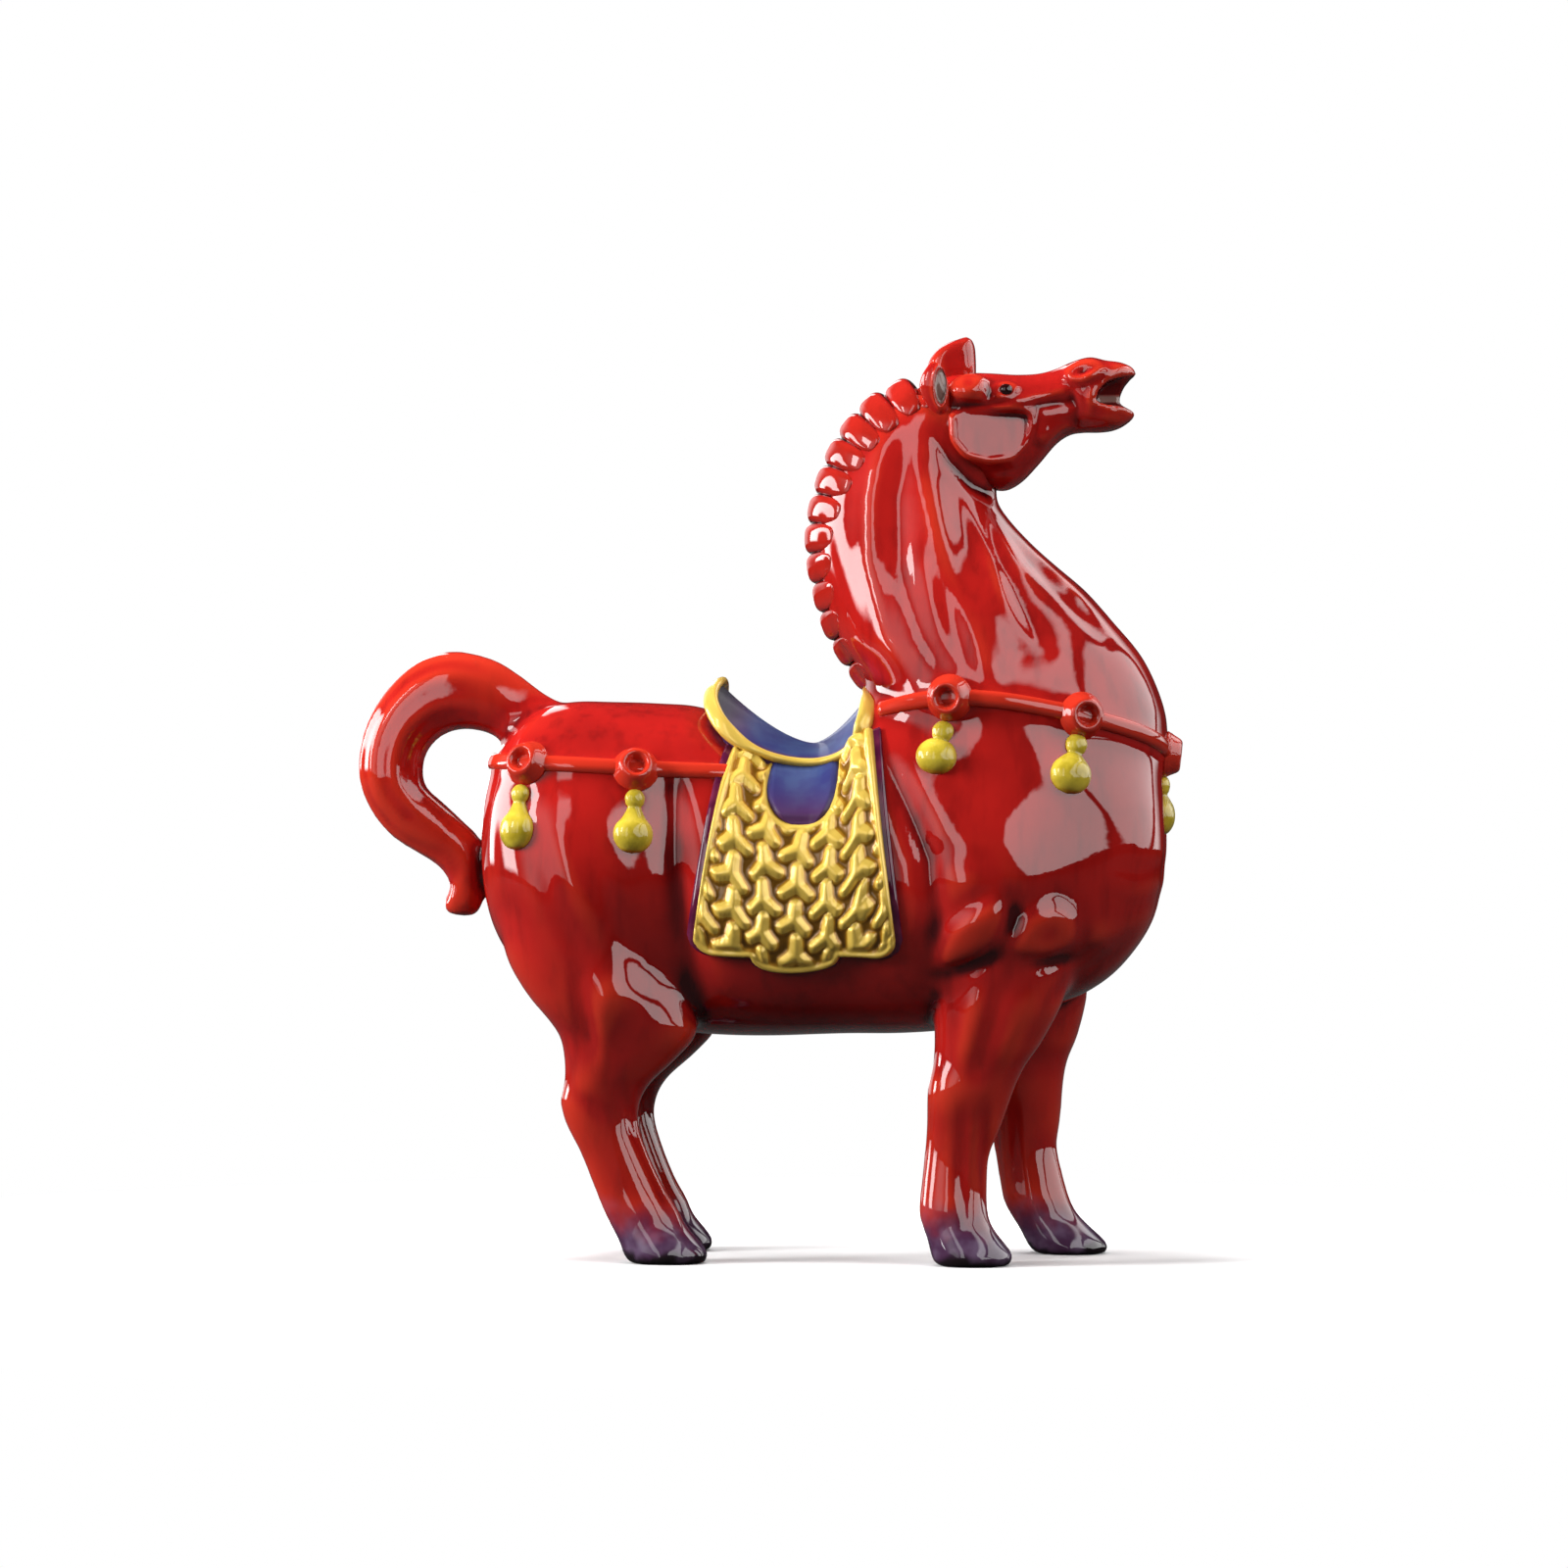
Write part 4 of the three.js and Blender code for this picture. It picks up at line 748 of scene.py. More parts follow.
# eyes: dark pellets under the brow
SIDES = (("right", -1), ("left", 1))
EYE = (2.2, 2.0, 1.5)
eyes = []
for name, side in SIDES:
    bpy.ops.mesh.primitive_uv_sphere_add(segments=40, ring_count=24, radius=MM)
    pellet = bpy.context.object
    pellet.name = f"glazed_{name}_eye"
    pellet.data.shade_smooth()
    at, _ = touch(head_tree, (EYE_X, 0, EYE_Z), (0, side, 0))
    set_points(pellet, (points_of(pellet) + CENTRING) * EYE - CENTRING)
    eyes.append(lay(pellet, at + 0.2 * np.array([0, side, 0]), basis((1, 0, 0.1), (0, side, 0))))


# ears: a leaf with a rolled edge, hollow on the front half of its outer face
def ear(name, side):
    leaf = [(271.4, 56.2, 58.6, 1.4, 14.4), (274.2, 54, 60.4, 2.5, 15), (277.6, 52, 60.9, 3, 15.6),
            (281, 51.2, 60.8, 3.1, 16), (284.2, 51.9, 59.9, 2.7, 16.3), (286.9, 53.5, 58.8, 2, 16.5),
            (288.9, 55.2, 57.4, 1, 16.6)]
    piece = loft(name, rings_of([row(x0, z + 0.4, x1, z - 0.4, thick, side * y, 2.1)
                                 for z, x0, x1, thick, y in leaf], 8, 64))
    points, outer = points_of(piece), side * read(piece, "normal")[:, 1]
    across = np.hypot((points[:, 0] - 58.1) / 2.1, (points[:, 2] - 281.0) / 6.3)
    hollow = (1 - smoothstep(0.72, 1.04, across)) * smoothstep(0.1, 0.4, outer)
    edge = np.exp(-((across - 1.12) / 0.16) ** 2) * smoothstep(0.0, 0.3, outer)
    points[:, 1] += side * (0.45 * edge - 1.4 * hollow)
    set_points(piece, points)
    mark_pools_shade_and_highlights(piece, 2.0, 8)
    set_attribute(piece, "pale", smoothstep(0.3, 0.75, hollow))
    return piece


ears = [ear(f"{name}_ear", side) for name, side in SIDES]

# forelock: one blunt lock between the ears, dented on its sides
LOCK_FOOT, LOCK_TALL, LOCK_HALF = POLL + 1, 16.0, 7.0
forelock = loft("forelock", rings_of([
    row(POLL_X + hind, LOCK_FOOT + rise * LOCK_TALL - 0.5, POLL_X + front, LOCK_FOOT + rise * LOCK_TALL + 0.5,
        width * LOCK_HALF, 0, full)
    for rise, hind, front, width, full in [
        (0, 3.5, 18.2, 0.8, 2.8), (0.3, 2.6, 18.3, 1, 3), (0.55, 3.2, 18.2, 1, 3),
        (0.76, 5.8, 17.9, 0.92, 2.8), (0.9, 9.2, 17, 0.72, 2.5), (0.965, 12, 15.4, 0.3, 2.2)]
], 8, 64))
raise_clay(forelock, [((POLL_X + 12.6, 7.4, POLL + 7.5), (4.0, 4, 6.5), -0.7)])
mark_pools_shade_and_highlights(forelock, 1.5, 8)

# mane: rolled knots over the crest
KNOTS = 13
crest = [(ax, 0, az) for ax, az, *_ in neck_rows()[:-2]]
crest += [(POLL_X - 5, 0, POLL + 1.5), (POLL_X + 1.5, 0, POLL + 4)]
crest_line, crest_length = smooth_path(crest, 12 * (KNOTS - 1) + 1)
PITCH = crest_length / (KNOTS - 1)
knots = []
for i in range(KNOTS):
    # a roll laid over the crest, deep on both sides near the ears, hardly more than a bead at the withers
    share = 1 - i / (KNOTS - 1)
    spot = 12 * (KNOTS - 1 - i)
    along = unit(crest_line[min(spot + 2, len(crest_line) - 1)] - crest_line[max(spot - 2, 0)])
    out = np.array([-along[2], 0, along[0]])
    depth = 2.6 + 5.2 * smoothstep(0.0, 0.75, share)
    tall = 4.2 + 1.2 * share
    middle = crest_line[spot] - out * depth
    rings = []
    for t in np.linspace(-1, 1, 41):
        up, sideways = cos_sin(t * (90 + 16 * share))
        away = up * out + sideways * np.array([0, 1, 0])
        foot, _ = feel(skin_tree, middle, away)
        end = max(1 - abs(t) ** 4, 0.0) ** 0.5
        high = tall * (0.42 + 0.58 * max(up, 0.0)) * end + 0.05
        wide = 0.56 * PITCH * (0.2 + 0.8 * end) + 0.02
        rings.append(foot + np.outer(wide * rounded(np.cos(angles(32)), 3.0), along)
                     + np.outer(high * rounded(np.sin(angles(32)), 2.2) - 0.5, away))
    knot = loft(f"mane_knot_{i + 1:02d}", np.array(rings))
    points = points_of(knot)
    between = np.abs((points - crest_line[spot]) @ along) / (0.5 * PITCH)
    # painted shade where one knot meets the next, the rest of the knot lighter
    set_attribute(knot, "pool_shade_and_highlight", 0.3 + 0.7 * smoothstep(0.82, 1.02, between))
    knots.append(knot)

# saddle: a hollow seat in a gold rim that stands up behind and in front
SADDLE_X = WITHERS_X - 22
rim_half = np.array([
    (-15.2, 0, 186.6), (-15.6, 8, 185.6), (-16.3, 15, 182.8), (-15.4, 21.5, 178.6), (-11.8, 26, 172.6),
    (-5.5, 27.5, 166.8), (3, 27, 162.6), (11.4, 26, 160.5), (19.8, 26.5, 160.3), (26.8, 29, 162.4),
    (32, 31.5, 167), (34.7, 31, 173.4), (35.4, 24, 179.4), (34.8, 12, 182.4), (34.2, 0, 183.4),
])
RIM_STEPS = 220
rim_line, _ = smooth_path([*rim_half, *rim_half[-2:0:-1] * (1, -1, 1)], RIM_STEPS, closed=True)
seat_low = np.array([15.5, 0, 167])


def seat_ring(share, heights):
    ring = seat_low + (rim_line - seat_low) * share
    ring[:, 2] = heights
    return ring


seat_rings = [seat_ring(share, seat_low[2] + (rim_line[:, 2] - seat_low[2]) * share**1.55)
              for share in np.linspace(0.04, 1, 26)]
seat_rings += [seat_ring(share, rim_line[:, 2] - drop)
               for share, drop in ((0.985, 2.2), (0.95, 6), (0.9, 12.5))]
seat = loft("saddle_seat", np.array(seat_rings))
x, y, z = points_of(seat).T
to_rim = np.array([np.min(((rim_line - p) ** 2).sum(1)) for p in points_of(seat)]) ** 0.5
# painted shade on the skirt just under the rim, and purple towards the cantle
set_attribute(seat, "pool_shade_and_highlight", np.maximum(1 - smoothstep(1.5, 8.5, to_rim), 0.8 * smoothstep(4, -12, x)))
set_attribute(seat, "shade", smoothstep(-1, -13, x) * smoothstep(169, 176, z))

# the rim follows that line, thicker where it stands up
tangent = unit(np.roll(rim_line, -1, 0) - np.roll(rim_line, 1, 0))
outwards = rim_line - (rim_line.mean(0) - (0, 0, 30))
outwards = unit(outwards - tangent * (outwards * tangent).sum(1)[:, None])
across = np.cross(outwards, tangent)
fore = smoothstep(12, 20, rim_line[:, 0] - SADDLE_X) * smoothstep(164, 172, rim_line[:, 2])
hind = smoothstep(-12, -24, rim_line[:, 0] - SADDLE_X)
angle = angles(24)
thick, wide = 1.5, (1.3 + 1.5 * fore + 1.3 * hind)[:, None, None]
rim_rings = (rim_line[:, None] + thick * rounded(np.cos(angle), 2.6)[:, None] * outwards[:, None]
             + wide * rounded(np.sin(angle), 2.6)[:, None] * across[:, None])
rim = link("saddle_rim", rim_rings.reshape(-1, 3), tube_faces(RIM_STEPS, 24, ring_closed=True))
mark_pools_shade_and_highlights(rim, 5.0, 6)

# cloths: a sheet over each flank, with a lobed hem
LOBE, LOBE_DROP, CORNER_RISE = 0.43, 7.0, 7.5
OVER_CLOTH = (-9.5, 33)     # stretch of the rim over the cloth
FLAP_HALF, FLAP_DROP = 12.0, 38.5


def flank_angle(z):
    return math.degrees(math.atan2(BARREL / 2, z - TRUNK_MIDDLE))


def under_rim(x):
    """Degrees from the spine down to the rim above that place of the cloth."""
    near = rim_line[rim_line[:, 1] > 12]
    spot = near[np.argmin(np.abs(near[:, 0] - np.clip(x, *OVER_CLOTH)) + 0.02 * near[:, 2])]
    return math.degrees(math.atan2(spot[1], spot[2] - TRUNK_MIDDLE))


def cloth_outline(margin):
    def outline(u, v):
        width = (TOP_WIDTH + (HEM_WIDTH - TOP_WIDTH) * v) / 2 + margin
        x = CLOTH_X - 1.3 * v + u * width
        out = abs(u)
        lobe = LOBE_DROP * math.sqrt(1 - (out / LOBE) ** 2) if out < LOBE else 0.0
        bend = max(0.0, out - 0.78) / 0.22
        corner = CORNER_RISE * (1 - math.sqrt(max(0.0, 1 - bend**2)))
        hem = flank_angle(BACK - CLOTH_DROP - lobe + corner + 0.15 * margin)
        top = under_rim(x)
        return x, top + (hem - top) * v
    return outline


def flap_outline(u, v):
    narrow = 1 if v < 0.45 else math.sqrt(1 - 0.94 * ((v - 0.45) / 0.55) ** 2)
    foot = flank_angle(BACK - FLAP_DROP)
    x = CLOTH_X + 0.4 + u * narrow * FLAP_HALF
    top = under_rim(x)
    return x, top + (foot - top) * v


def sheet(name, side, outline, low, high, columns, rows, relief=None):
    """A closed sheet between two heights over the flank. relief(at, across, down) adds to the upper one and
    says where its glaze pools and where shade and highlight are painted."""
    u, v = np.linspace(-1, 1, columns + 1), np.linspace(0, 1, rows + 1)
    spots = [[flank(*outline(across, down), side) for across in u] for down in v]
    at, out = np.moveaxis(np.array(spots), 2, 0)
    flat = np.zeros(at.shape[:2])
    rise, pool_shade_and_highlight = relief(at, *np.meshgrid(u, v)) if relief else (flat, flat + 0.5)
    over = at + out * (high + rise)[..., None]
    rings = np.concatenate([at + out * low, over[:, ::-1]], axis=1)
    sides = rings.shape[1]
    faces = tube_faces(rows + 1, sides)
    for start in (0, rows * sides):
        last = start + sides - 1
        faces += [(start + i, start + i + 1, last - i - 1, last - i) for i in range(columns)]
    piece = link(name, rings.reshape(-1, 3), faces)
    set_attribute(piece, "pool_shade_and_highlight", np.concatenate([flat + 0.5, pool_shade_and_highlight[:, ::-1]], axis=1).ravel())
    return piece


# the linked Y shapes of the relief: distance between them, length and half width of an arm, height
Y_PITCH, Y_ARM, Y_HALF, Y_RISE = 10.6, 5.0, 2.05, 1.9


def y_relief(s, t, seed):
    """Height of linked Y shapes at (s, t) in millimetres, each a little turned and shifted."""
    rng = np.random.default_rng(seed)
    height = np.zeros(s.shape)
    for column in range(-5, 6):
        for line in range(-2, 11):
            cs = column * Y_PITCH + rng.uniform(-0.5, 0.5)
            ct = (line + 0.5 * (column % 2)) * Y_PITCH + rng.uniform(-0.5, 0.5)
            turn = rng.uniform(-0.22, 0.22)
            size = rng.uniform(0.92, 1.08)
            ds, dt = s - cs, t - ct
            near = np.full(s.shape, 99.0)
            for arm in (90, 218, 322):
                direction = math.radians(arm) + turn
                ex, ey = math.cos(direction), -math.sin(direction)
                run = np.clip(ds * ex + dt * ey, 0, Y_ARM * size)
                near = np.minimum(near, np.hypot(ds - run * ex, dt - run * ey) + 0.11 * run)
            height = np.maximum(height, Y_RISE * (1 - smoothstep(0.1 * Y_HALF, 1.75 * Y_HALF, near)) ** 0.8)
    return height


def paced(at, axis):
    """Millimetres run over the flank from the first row or column of places."""
    steps = np.linalg.norm(np.diff(at, axis=axis), axis=2)
    return np.cumsum(np.pad(steps, [(1 - axis, 0), (axis, 0)]), axis)


def gold_relief(side):
    def relief(at, across, down):
        s, t = paced(at, 1), paced(at, 0)
        total = s[:, -1:]
        to_edge = np.minimum(np.minimum(s, total - s), t[-1:] - t)
        for spot in at[-1, ::2]:
            to_edge = np.minimum(to_edge, np.linalg.norm(at - spot, axis=2))
        # the blue flap is framed by a ridge
        beside = np.abs(s - total / 2) / (FLAP_HALF + 0.4)
        below = (BACK - at[:, :, 2]) / (FLAP_DROP + 1.3)
        to_flap = beside**2.6 + np.clip((below - 0.62) / 0.38, 0, 2) ** 2.2
        flap_ridge = np.exp(-((to_flap - 1.25) / 0.22) ** 2) * (below < 1.25)
        under_flap = 1 - smoothstep(0.95, 1.1, to_flap)
        border = np.exp(-((to_edge - 1.5) / 1.25) ** 2)
        field = smoothstep(2.2, 4.6, to_edge) * smoothstep(1.2, 1.6, to_flap)
        lumps = y_relief(s - total / 2, t, 7 + side)
        rise = 1.1 * border + 0.9 * flap_ridge * (1 - border) + field * lumps - 0.5 * under_flap
        rise -= 1.6 * (1 - smoothstep(0.0, 0.9, to_edge))
        # painted shade between the Y shapes, painted highlight on their tops, the border and the flap's ridge
        pool_shade_and_highlight = (0.8 - 0.75 * smoothstep(0.0, 0.55 * Y_RISE, lumps)) * field
        pool_shade_and_highlight += (1 - field) * (0.42 - 0.3 * np.maximum(border, flap_ridge))
        return rise, pool_shade_and_highlight
    return relief


def flap_relief(at, across, down):
    """The flap thins at its edge, and its glaze darkens towards the foot."""
    return -1.2 * smoothstep(0.86, 1.0, np.maximum(np.abs(across), down)), 0.15 + 0.85 * down**2.2


cloths, linings, flaps = [], [], []
for name, side in SIDES:
    cloth = sheet(f"{name}_cloth", side, cloth_outline(0), -0.4, 2.0, 150, 170, gold_relief(side))
    apply_modifier(cloth, "SMOOTH", factor=0.4, iterations=2)
    cloths.append(cloth)
    linings.append(sheet(f"{name}_lining", side, cloth_outline(1.9), -0.4, 1.2, 60, 60))
    flaps.append(sheet(f"{name}_flap", side, flap_outline, 1.0, 3.4, 40, 40, flap_relief))


# straps: half-round strips of clay laid on the skin
STRAP_WIDTH, STRAP_RISE = 5.4, 1.5


def strap(name, spots):
    at, out = np.moveaxis(np.array(spots), 1, 0)
    for _ in range(6):
        out[1:-1] = (out[:-2] + out[1:-1] + out[2:]) / 3
        at[1:-1] = (at[:-2] + 2 * at[1:-1] + at[2:]) / 4
    out = unit(out)
    across = unit(np.cross(out, np.gradient(at, axis=0)))
    profile = [(1.0, -1.6), (1.0, 0.02), (0.93, 0.3), (0.76, 0.68), (0.5, 0.93), (0.24, 1.0), (0, 1.0)]
    profile += [(-w, h) for w, h in profile[-2::-1]]
    return loft(name, np.stack([at + across * (w * STRAP_WIDTH / 2) + out * (h * STRAP_RISE if h > 0 else h)
                                for w, h in profile], axis=1))


breast_strap = strap("breast_strap", [breast_spot(a) for a in np.linspace(-breast_end, breast_end, 160)])
rump_strap = strap("rump_strap", [rump_spot(a) for a in np.linspace(-rump_end, rump_end, 160)])


# rosettes and bells, turned on a wheel, then laid on
def turned(name, profile):
    """A closed turned form from (radius, height) points, smoothed."""
    line, _ = smooth_path(profile, 4 * len(profile))
    angle = angles(48)
    radius, height = np.maximum(line[:, :1], 1e-3), line[:, 1:]
    rings = np.stack([radius * np.cos(angle), radius * np.sin(angle), height + 0 * angle], axis=2)
    return loft(name, rings - CENTRING)


def rosette(name, at, out):
    piece = turned(name, [(0, -1.6), (7.0, -1.5), (7.15, -0.1), (6.6, 0.9), (6.0, 2.1), (5.3, 3.3),
                          (4.4, 3.9), (3.6, 3.6), (2.9, 2.4), (2.4, 1.3), (1.8, 0.9), (1.1, 1.0),
                          (0.5, 1.2), (0, 1.25)])
    return lay(piece, at, basis((0, 0, -1), out))


def bell(name, at, out, down, gap, knob, wide, long):
    """A gourd: a small ball over a large lobe, flattened against the horse. at is the middle of the lobe."""
    piece = turned(name, [(0, gap + knob), (0.6 * knob, gap + 0.8 * knob), (0.97 * knob, gap + 0.2 * knob),
                          (0.86 * knob, gap - 0.5 * knob), (0.66 * knob, gap - 0.84 * knob),
                          (0.6 * wide, 0.8 * long), (0.9 * wide, 0.42 * long), (wide, -0.05 * long),
                          (0.88 * wide, -0.5 * long), (0.52 * wide, -0.87 * long), (0, -long)])
    points = points_of(piece) + CENTRING
    set_points(piece, np.stack([-points[:, 2], points[:, 1], 0.74 * points[:, 0]], axis=1) - CENTRING)
    face_outwards(piece)
    return lay(piece, at, basis(down, out))


rosettes, bells = [], []
for name, spot, degrees, lean, gap, knob, wide, long in harness:
    at, out = spot(degrees)
    rosettes.append(rosette(f"{name}_rosette", at, out))
    middle, face = spot(degrees + lean, 10 + gap)
    gourd = bell(f"{name}_bell", middle, face, middle - at, gap, knob, wide, long)
    mark_pools_shade_and_highlights(gourd, 2.0, 4)
    bells.append(gourd)
bpy.data.objects.remove(plain_trunk)


# finishes
def linear(colour):
    """An sRGB hex colour as linear values."""
    parts = [int(colour[i:i + 2], 16) / 255 for i in (0, 2, 4)]
    return tuple(c / 12.92 if c <= 0.04045 else ((c + 0.055) / 1.055) ** 2.4 for c in parts) + (1.0,)


def put(tree, node, inputs):
    """Sets a node's inputs: values, or the outputs of other nodes."""
    for key, value in inputs.items():
        if isinstance(value, bpy.types.NodeSocket):
            tree.links.new(value, node.inputs[key])
        else:
            node.inputs[key].default_value = value


def add(tree, kind, inputs=None, **settings):
    made = tree.nodes.new(kind)
    for key, value in settings.items():
        setattr(made, key, value)
    put(tree, made, inputs or {})
    return made


def math_of(tree, operation, *values, **settings):
    return add(tree, "ShaderNodeMath", dict(enumerate(values)), operation=operation, **settings).outputs[0]


def painted(tree, name):
    """A value that was painted on the mesh."""
    return add(tree, "ShaderNodeAttribute", attribute_name=name).outputs["Fac"]


def mixed(tree, amount, low, high):
    """Colours are hex values or the outputs of other nodes."""
    low, high = (linear(colour) if isinstance(colour, str) else colour for colour in (low, high))
    return add(tree, "ShaderNodeMix", {0: amount, 6: low, 7: high}, data_type="RGBA").outputs[2]


def ranged(tree, value, low, high, to_low=0.0, to_high=1.0):
    limits = {"Value": value, "From Min": low, "From Max": high, "To Min": to_low, "To Max": to_high}
    return add(tree, "ShaderNodeMapRange", limits, interpolation_type="SMOOTHSTEP").outputs["Result"]


def noise(tree, place, size_mm, detail=2.0):
    grain = {"Vector": place, "Scale": 1 / (size_mm * MM), "Detail": detail}
    return add(tree, "ShaderNodeTexNoise", grain).outputs["Fac"]


def finish(name):
    material = bpy.data.materials.new(name)
    material.use_nodes = True
    tree = material.node_tree
    tree.nodes.clear()
    shader = add(tree, "ShaderNodeBsdfPrincipled")
    out = add(tree, "ShaderNodeOutputMaterial", {"Surface": shader.outputs["BSDF"]})
    return material, tree, shader, out, add(tree, "ShaderNodeTexCoord").outputs["Object"]


GLASS = 1.52        # index of refraction


def glaze(name, paint, ripple_mm, depth, roughness, coat=1.0, metal=0.0):
    """Fired glass: clear gloss over the colour that paint(tree, place) gives, with a faint ripple."""
    material, tree, shader, _, place = finish(name)
    height = {"Height": noise(tree, place, ripple_mm), "Strength": 1.0, "Distance": depth * MM}
    ripple = add(tree, "ShaderNodeBump", height).outputs["Normal"]
    put(tree, shader, {
        "Base Color": paint(tree, place), "Metallic": metal, "Roughness": roughness, "IOR": GLASS,
        "Specular IOR Level": 0.5 * (1.0 - coat), "Normal": ripple,
        "Coat Weight": coat, "Coat Roughness": 0.03, "Coat IOR": GLASS, "Coat Normal": ripple,
    })
    return material


def red_paint(bright, deep):
    """Dipped glaze: bright on ridges where it runs thin, with painted highlight there, maroon in hollows
    where it pools, with painted shade there, and violet on the hooves.
    """
    def paint(tree, place):
        pool_shade_and_highlight = painted(tree, "pool_shade_and_highlight")
        stretch = {0: place, 1: (1.0, 1.0, 0.22)}
        hanging = add(tree, "ShaderNodeVectorMath", stretch, operation="MULTIPLY").outputs["Vector"]
        drifts = math_of(tree, "ADD", ranged(tree, noise(tree, place, 30, 3.0), 0.3, 0.75, 0.0, 0.35),
                         ranged(tree, noise(tree, hanging, 5, 3.0), 0.45, 0.72, 0.0, 0.22))
        # maroon in hollows and creases: the glaze's pooling, and painted shade
        amount = math_of(tree, "ADD", ranged(tree, pool_shade_and_highlight, 0.52, 1.0), drifts)
        colour = mixed(tree, amount, bright, deep)
        # orange-red on ridges: the glaze running thin, and painted highlight
        colour = mixed(tree, ranged(tree, pool_shade_and_highlight, 0.4, 0.12, 0.0, 0.7), colour, "C8341F")
        height = math_of(tree, "ADD", add(tree, "ShaderNodeSeparateXYZ", {0: place}).outputs["Z"],
                         ranged(tree, noise(tree, place, 9), 0.3, 0.7, -0.002, 0.002))
        violet = mixed(tree, ranged(tree, noise(tree, place, 7), 0.35, 0.7), "4A2C48", "66506A")
        colour = mixed(tree, ranged(tree, height, 0.023, 0.006), colour, violet)
        colour = mixed(tree, ranged(tree, height, 0.004, 0.0005), colour, "1D1418")
        colour = mixed(tree, painted(tree, "pale"), colour, "94756C")
        return mixed(tree, painted(tree, "dark"), colour, "5A1010")
    return paint


def gold_paint(tree, place):
    pool_shade_and_highlight = painted(tree, "pool_shade_and_highlight")
    body = mixed(tree, ranged(tree, noise(tree, place, 4, 4.0), 0.35, 0.7), "A67217", "BE8B28")
    # painted shade: dark brown in the hollows of the relief and rim, with some real pooling
    colour = mixed(tree, ranged(tree, pool_shade_and_highlight, 0.52, 0.85), body, "704A0C")
    # painted highlight: pale gold on the raised tops
    return mixed(tree, ranged(tree, pool_shade_and_highlight, 0.42, 0.2), colour, "DDBA52")


def lemon_paint(tree, place):
    body = mixed(tree, ranged(tree, noise(tree, place, 5, 3.0), 0.35, 0.75), "CDB63A", "A8921F")
    # painted shade: olive-brown in the hollows of the bells
    return mixed(tree, ranged(tree, painted(tree, "pool_shade_and_highlight"), 0.62, 0.95), body, "5E5212")


def blue_paint(tree, place):
    cloudy = mixed(tree, ranged(tree, noise(tree, place, 8, 3.0), 0.35, 0.7), "262C60", "31426C")
    # purple: painted shade on the skirt under the rim, and the glaze's purple towards the cantle and the
    # flap's foot
    colour = mixed(tree, ranged(tree, painted(tree, "pool_shade_and_highlight"), 0.1, 0.95), cloudy, "45204A")
    return mixed(tree, painted(tree, "shade"), colour, "1A1428")


def cloudy_paint(low, high):
    return lambda tree, place: mixed(tree, ranged(tree, noise(tree, place, 6), 0.3, 0.7), low, high)


red = glaze("oxblood_red_glaze", red_paint("B01B17", "44060A"), 6.0, 0.035, 0.22)
knot_red = glaze("thick_oxblood_glaze", red_paint("9E1815", "380507"), 6.0, 0.035, 0.22)
gold = glaze("gold_lustre_glaze", gold_paint, 3.0, 0.05, 0.3, coat=0.5, metal=0.25)
lemon = glaze("lemon_glaze", lemon_paint, 3.0, 0.04, 0.3, coat=0.7)
blue = glaze("cobalt_blue_glaze", blue_paint, 4.0, 0.03, 0.5, coat=0.12)
plum = glaze("plum_glaze", cloudy_paint("4A1030", "6A2440"), 4.0, 0.03, 0.25)
dark = glaze("black_brown_glaze", cloudy_paint("1C0607", "3A0E0E"), 4.0, 0.03, 0.15)


def dress(piece, material, slot, *nodes):
    piece.data.materials.clear()
    piece.data.materials.append(material)
    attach(piece, "root")
    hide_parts(*(nodes or [piece.name.removeprefix("glazed_")]))


dress(skin, red, "red_glaze", "body", "neck", "right_foreleg", "left_foreleg", "right_hind_leg",
      "left_hind_leg", "tail")
for pieces, material, slot in (
    ([head, forelock, breast_strap, rump_strap], red, "red_glaze"), ([rim], gold, "gold_glaze"),
    ([seat], blue, "blue_glaze"), (ears, red, "red_glaze"), (eyes, dark, "dark_glaze"),
    (knots, knot_red, "red_glaze"), (cloths, gold, "gold_glaze"), (linings, plum, "plum_glaze"),
    (flaps, blue, "blue_glaze"), (rosettes, red, "red_glaze"), (bells, lemon, "lemon_glaze"),
):
    for piece in pieces:
        dress(piece, material, slot)

# floor: white paper that the camera sees white and the glaze sees dim, since the horse stands in a dim room.
# Further off it sweeps up into the white of the backdrop.
bpy.ops.mesh.primitive_plane_add(size=8.0, location=(0, 0, 0))
floor = bpy.context.object
floor.name = "floor"
material, tree, shader, out, place = finish("white_paper")
path = add(tree, "ShaderNodeLightPath").outputs
mirrored = math_of(tree, "MULTIPLY", path["Is Glossy Ray"], 0.03)
seen = math_of(tree, "ADD", path["Is Camera Ray"], mirrored)
seen = math_of(tree, "ADD", seen, path["Is Transmission Ray"], use_clamp=True)
paper = mixed(tree, seen, "242424", "F7F7F7")
put(tree, shader, {"Base Color": paper, "Roughness": 0.9, "Specular IOR Level": 0.0})
far = add(tree, "ShaderNodeVectorMath", {0: place}, operation="LENGTH").outputs["Value"]
sweep = math_of(tree, "MULTIPLY", ranged(tree, far, 0.14, 0.42), path["Is Camera Ray"])
white = add(tree, "ShaderNodeEmission", {"Color": (1, 1, 1, 1), "Strength": 1.0})
blend = add(tree, "ShaderNodeMixShader", {0: sweep, 1: shader.outputs[0], 2: white.outputs[0]})
put(tree, out, {"Surface": blend.outputs[0]})
floor.data.materials.append(material)

# world: what the mirror-like glaze sees. A dim room, a pale wall on the right with a post in it, whose edge
# leans to the left higher up, and windows
world = bpy.data.worlds.new("studio")
bpy.context.scene.world = world
world.use_nodes = True
tree = world.node_tree
tree.nodes.clear()
split = add(tree, "ShaderNodeSeparateXYZ", {0: add(tree, "ShaderNodeTexCoord").outputs["Generated"]})
right, behind, up = split.outputs


def band(value, low, high, soft):
    return math_of(tree, "MULTIPLY", ranged(tree, value, low - soft, low + soft),
                   ranged(tree, value, high + soft, high - soft))


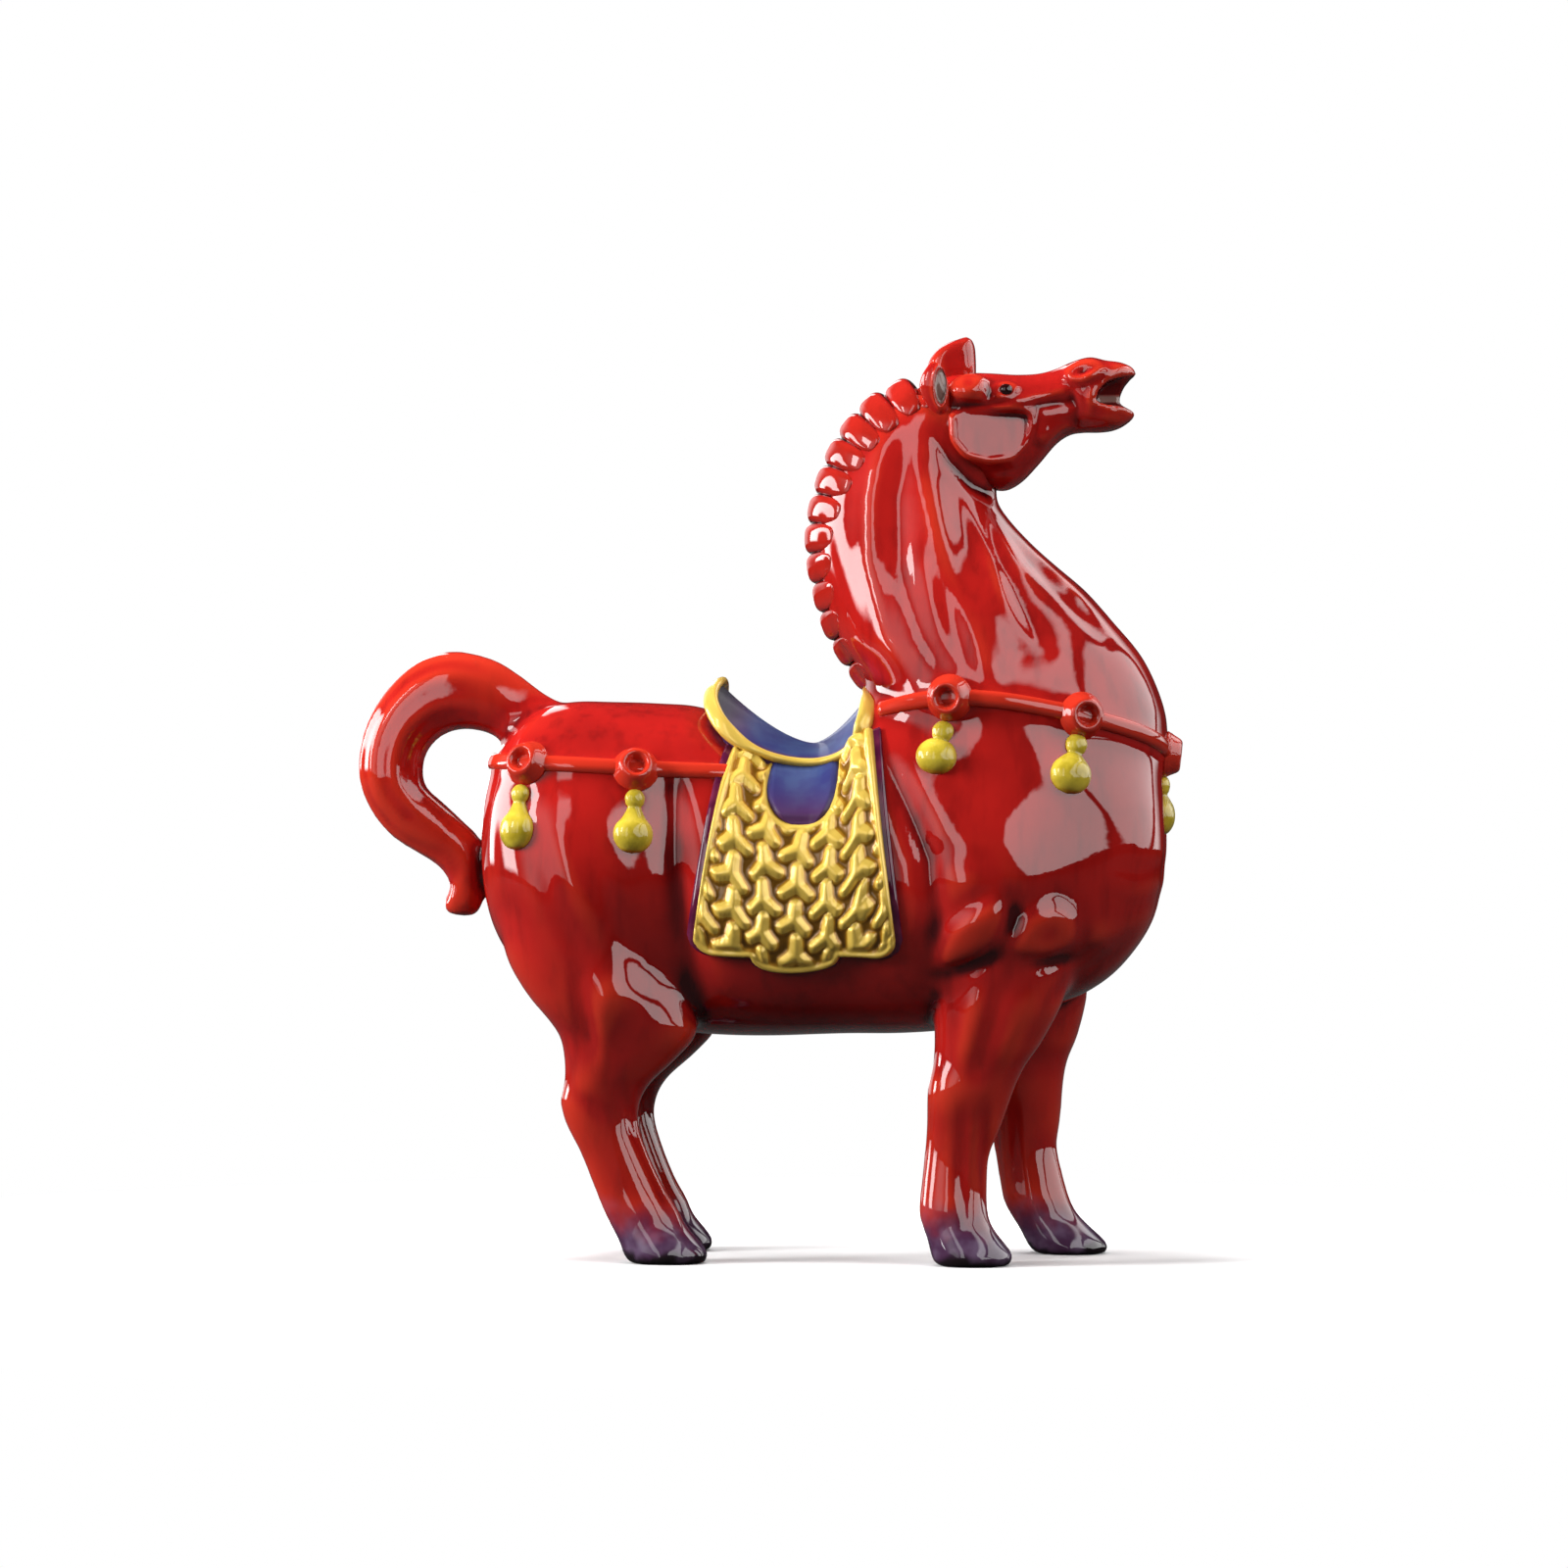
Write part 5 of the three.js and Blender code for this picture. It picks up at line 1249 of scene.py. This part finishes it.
above = math_of(tree, "MULTIPLY", ranged(tree, math_of(tree, "MULTIPLY_ADD", right, 1.2, up), 0.54, 0.62),
                ranged(tree, math_of(tree, "MULTIPLY_ADD", right, -1.2, up), 0.25, 0.12))
near_side = ranged(tree, behind, 0.85, 0.6)
lean = math_of(tree, "MULTIPLY_ADD", math_of(tree, "MINIMUM", up, 0.3), 0.9, right)
beside_post = math_of(tree, "SUBTRACT", 1.0, band(lean, 0.86, 0.93, 0.015))
wall = math_of(tree, "MULTIPLY", ranged(tree, lean, 0.49, 0.52, 0.0, 3.7),
               math_of(tree, "MULTIPLY", beside_post, math_of(tree, "MULTIPLY", above, near_side)))
room = math_of(tree, "MAXIMUM", ranged(tree, behind, 0.3, 0.9, 0.03, 0.02), wall)
for across, high, glow in [
    ((-0.98, -0.89, 0.01), (0.0, 0.5, 0.03), 12.0),     # a window far to the left
    ((-0.78, -0.42, 0.13), (-0.2, 0.5, 0.12), 1.3),     # a soft glow beside it
    ((-0.34, -0.2, 0.015), (-0.05, 0.6, 0.04), 3.0),    # a narrow window left of the camera
]:
    window = math_of(tree, "MULTIPLY", band(right, *across), band(up, *high))
    room = math_of(tree, "MULTIPLY_ADD", window, glow, room)
path = add(tree, "ShaderNodeLightPath").outputs
mirrored = math_of(tree, "ADD", path["Is Glossy Ray"], path["Is Transmission Ray"], use_clamp=True)
strength = add(tree, "ShaderNodeMix", {0: mirrored, 2: 0.08, 3: room}).outputs[0]
strength = math_of(tree, "MAXIMUM", strength, path["Is Camera Ray"])
surround = add(tree, "ShaderNodeBackground", {"Color": (1, 1, 1, 1), "Strength": strength})
add(tree, "ShaderNodeOutputWorld", {"Surface": surround.outputs[0]})


def softbox(name, place, width, height, watts, mirrored=False, aim=(0.0, 0.0, 0.15)):
    lamp = bpy.data.lights.new(name, "AREA")
    lamp.shape = "RECTANGLE"
    lamp.size, lamp.size_y = width, height
    lamp.energy = watts
    holder = bpy.data.objects.new(name, lamp)
    bpy.context.scene.collection.objects.link(holder)
    holder.visible_glossy = mirrored
    holder.location = place
    holder.rotation_euler = (Vector(place) - Vector(aim)).to_track_quat("Z", "Y").to_euler()


softbox("key_left", (-1.35, -0.45, 0.65), 0.5, 0.7, 33)
softbox("wide_right", (1.2, -0.5, 0.8), 0.9, 0.9, 12)
softbox("front_fill", (0.0, -1.4, 0.7), 0.9, 0.9, 1.5)
softbox("overhead", (-0.2, 0.0, 1.3), 0.7, 0.5, 20)
softbox("back_fill", (0.2, 1.3, 0.9), 0.9, 0.9, 12)
softbox("sparkle", (-1.0, -0.9, 0.8), 0.16, 0.5, 3, mirrored=True)

bpy.context.scene.view_settings.view_transform = "Standard"
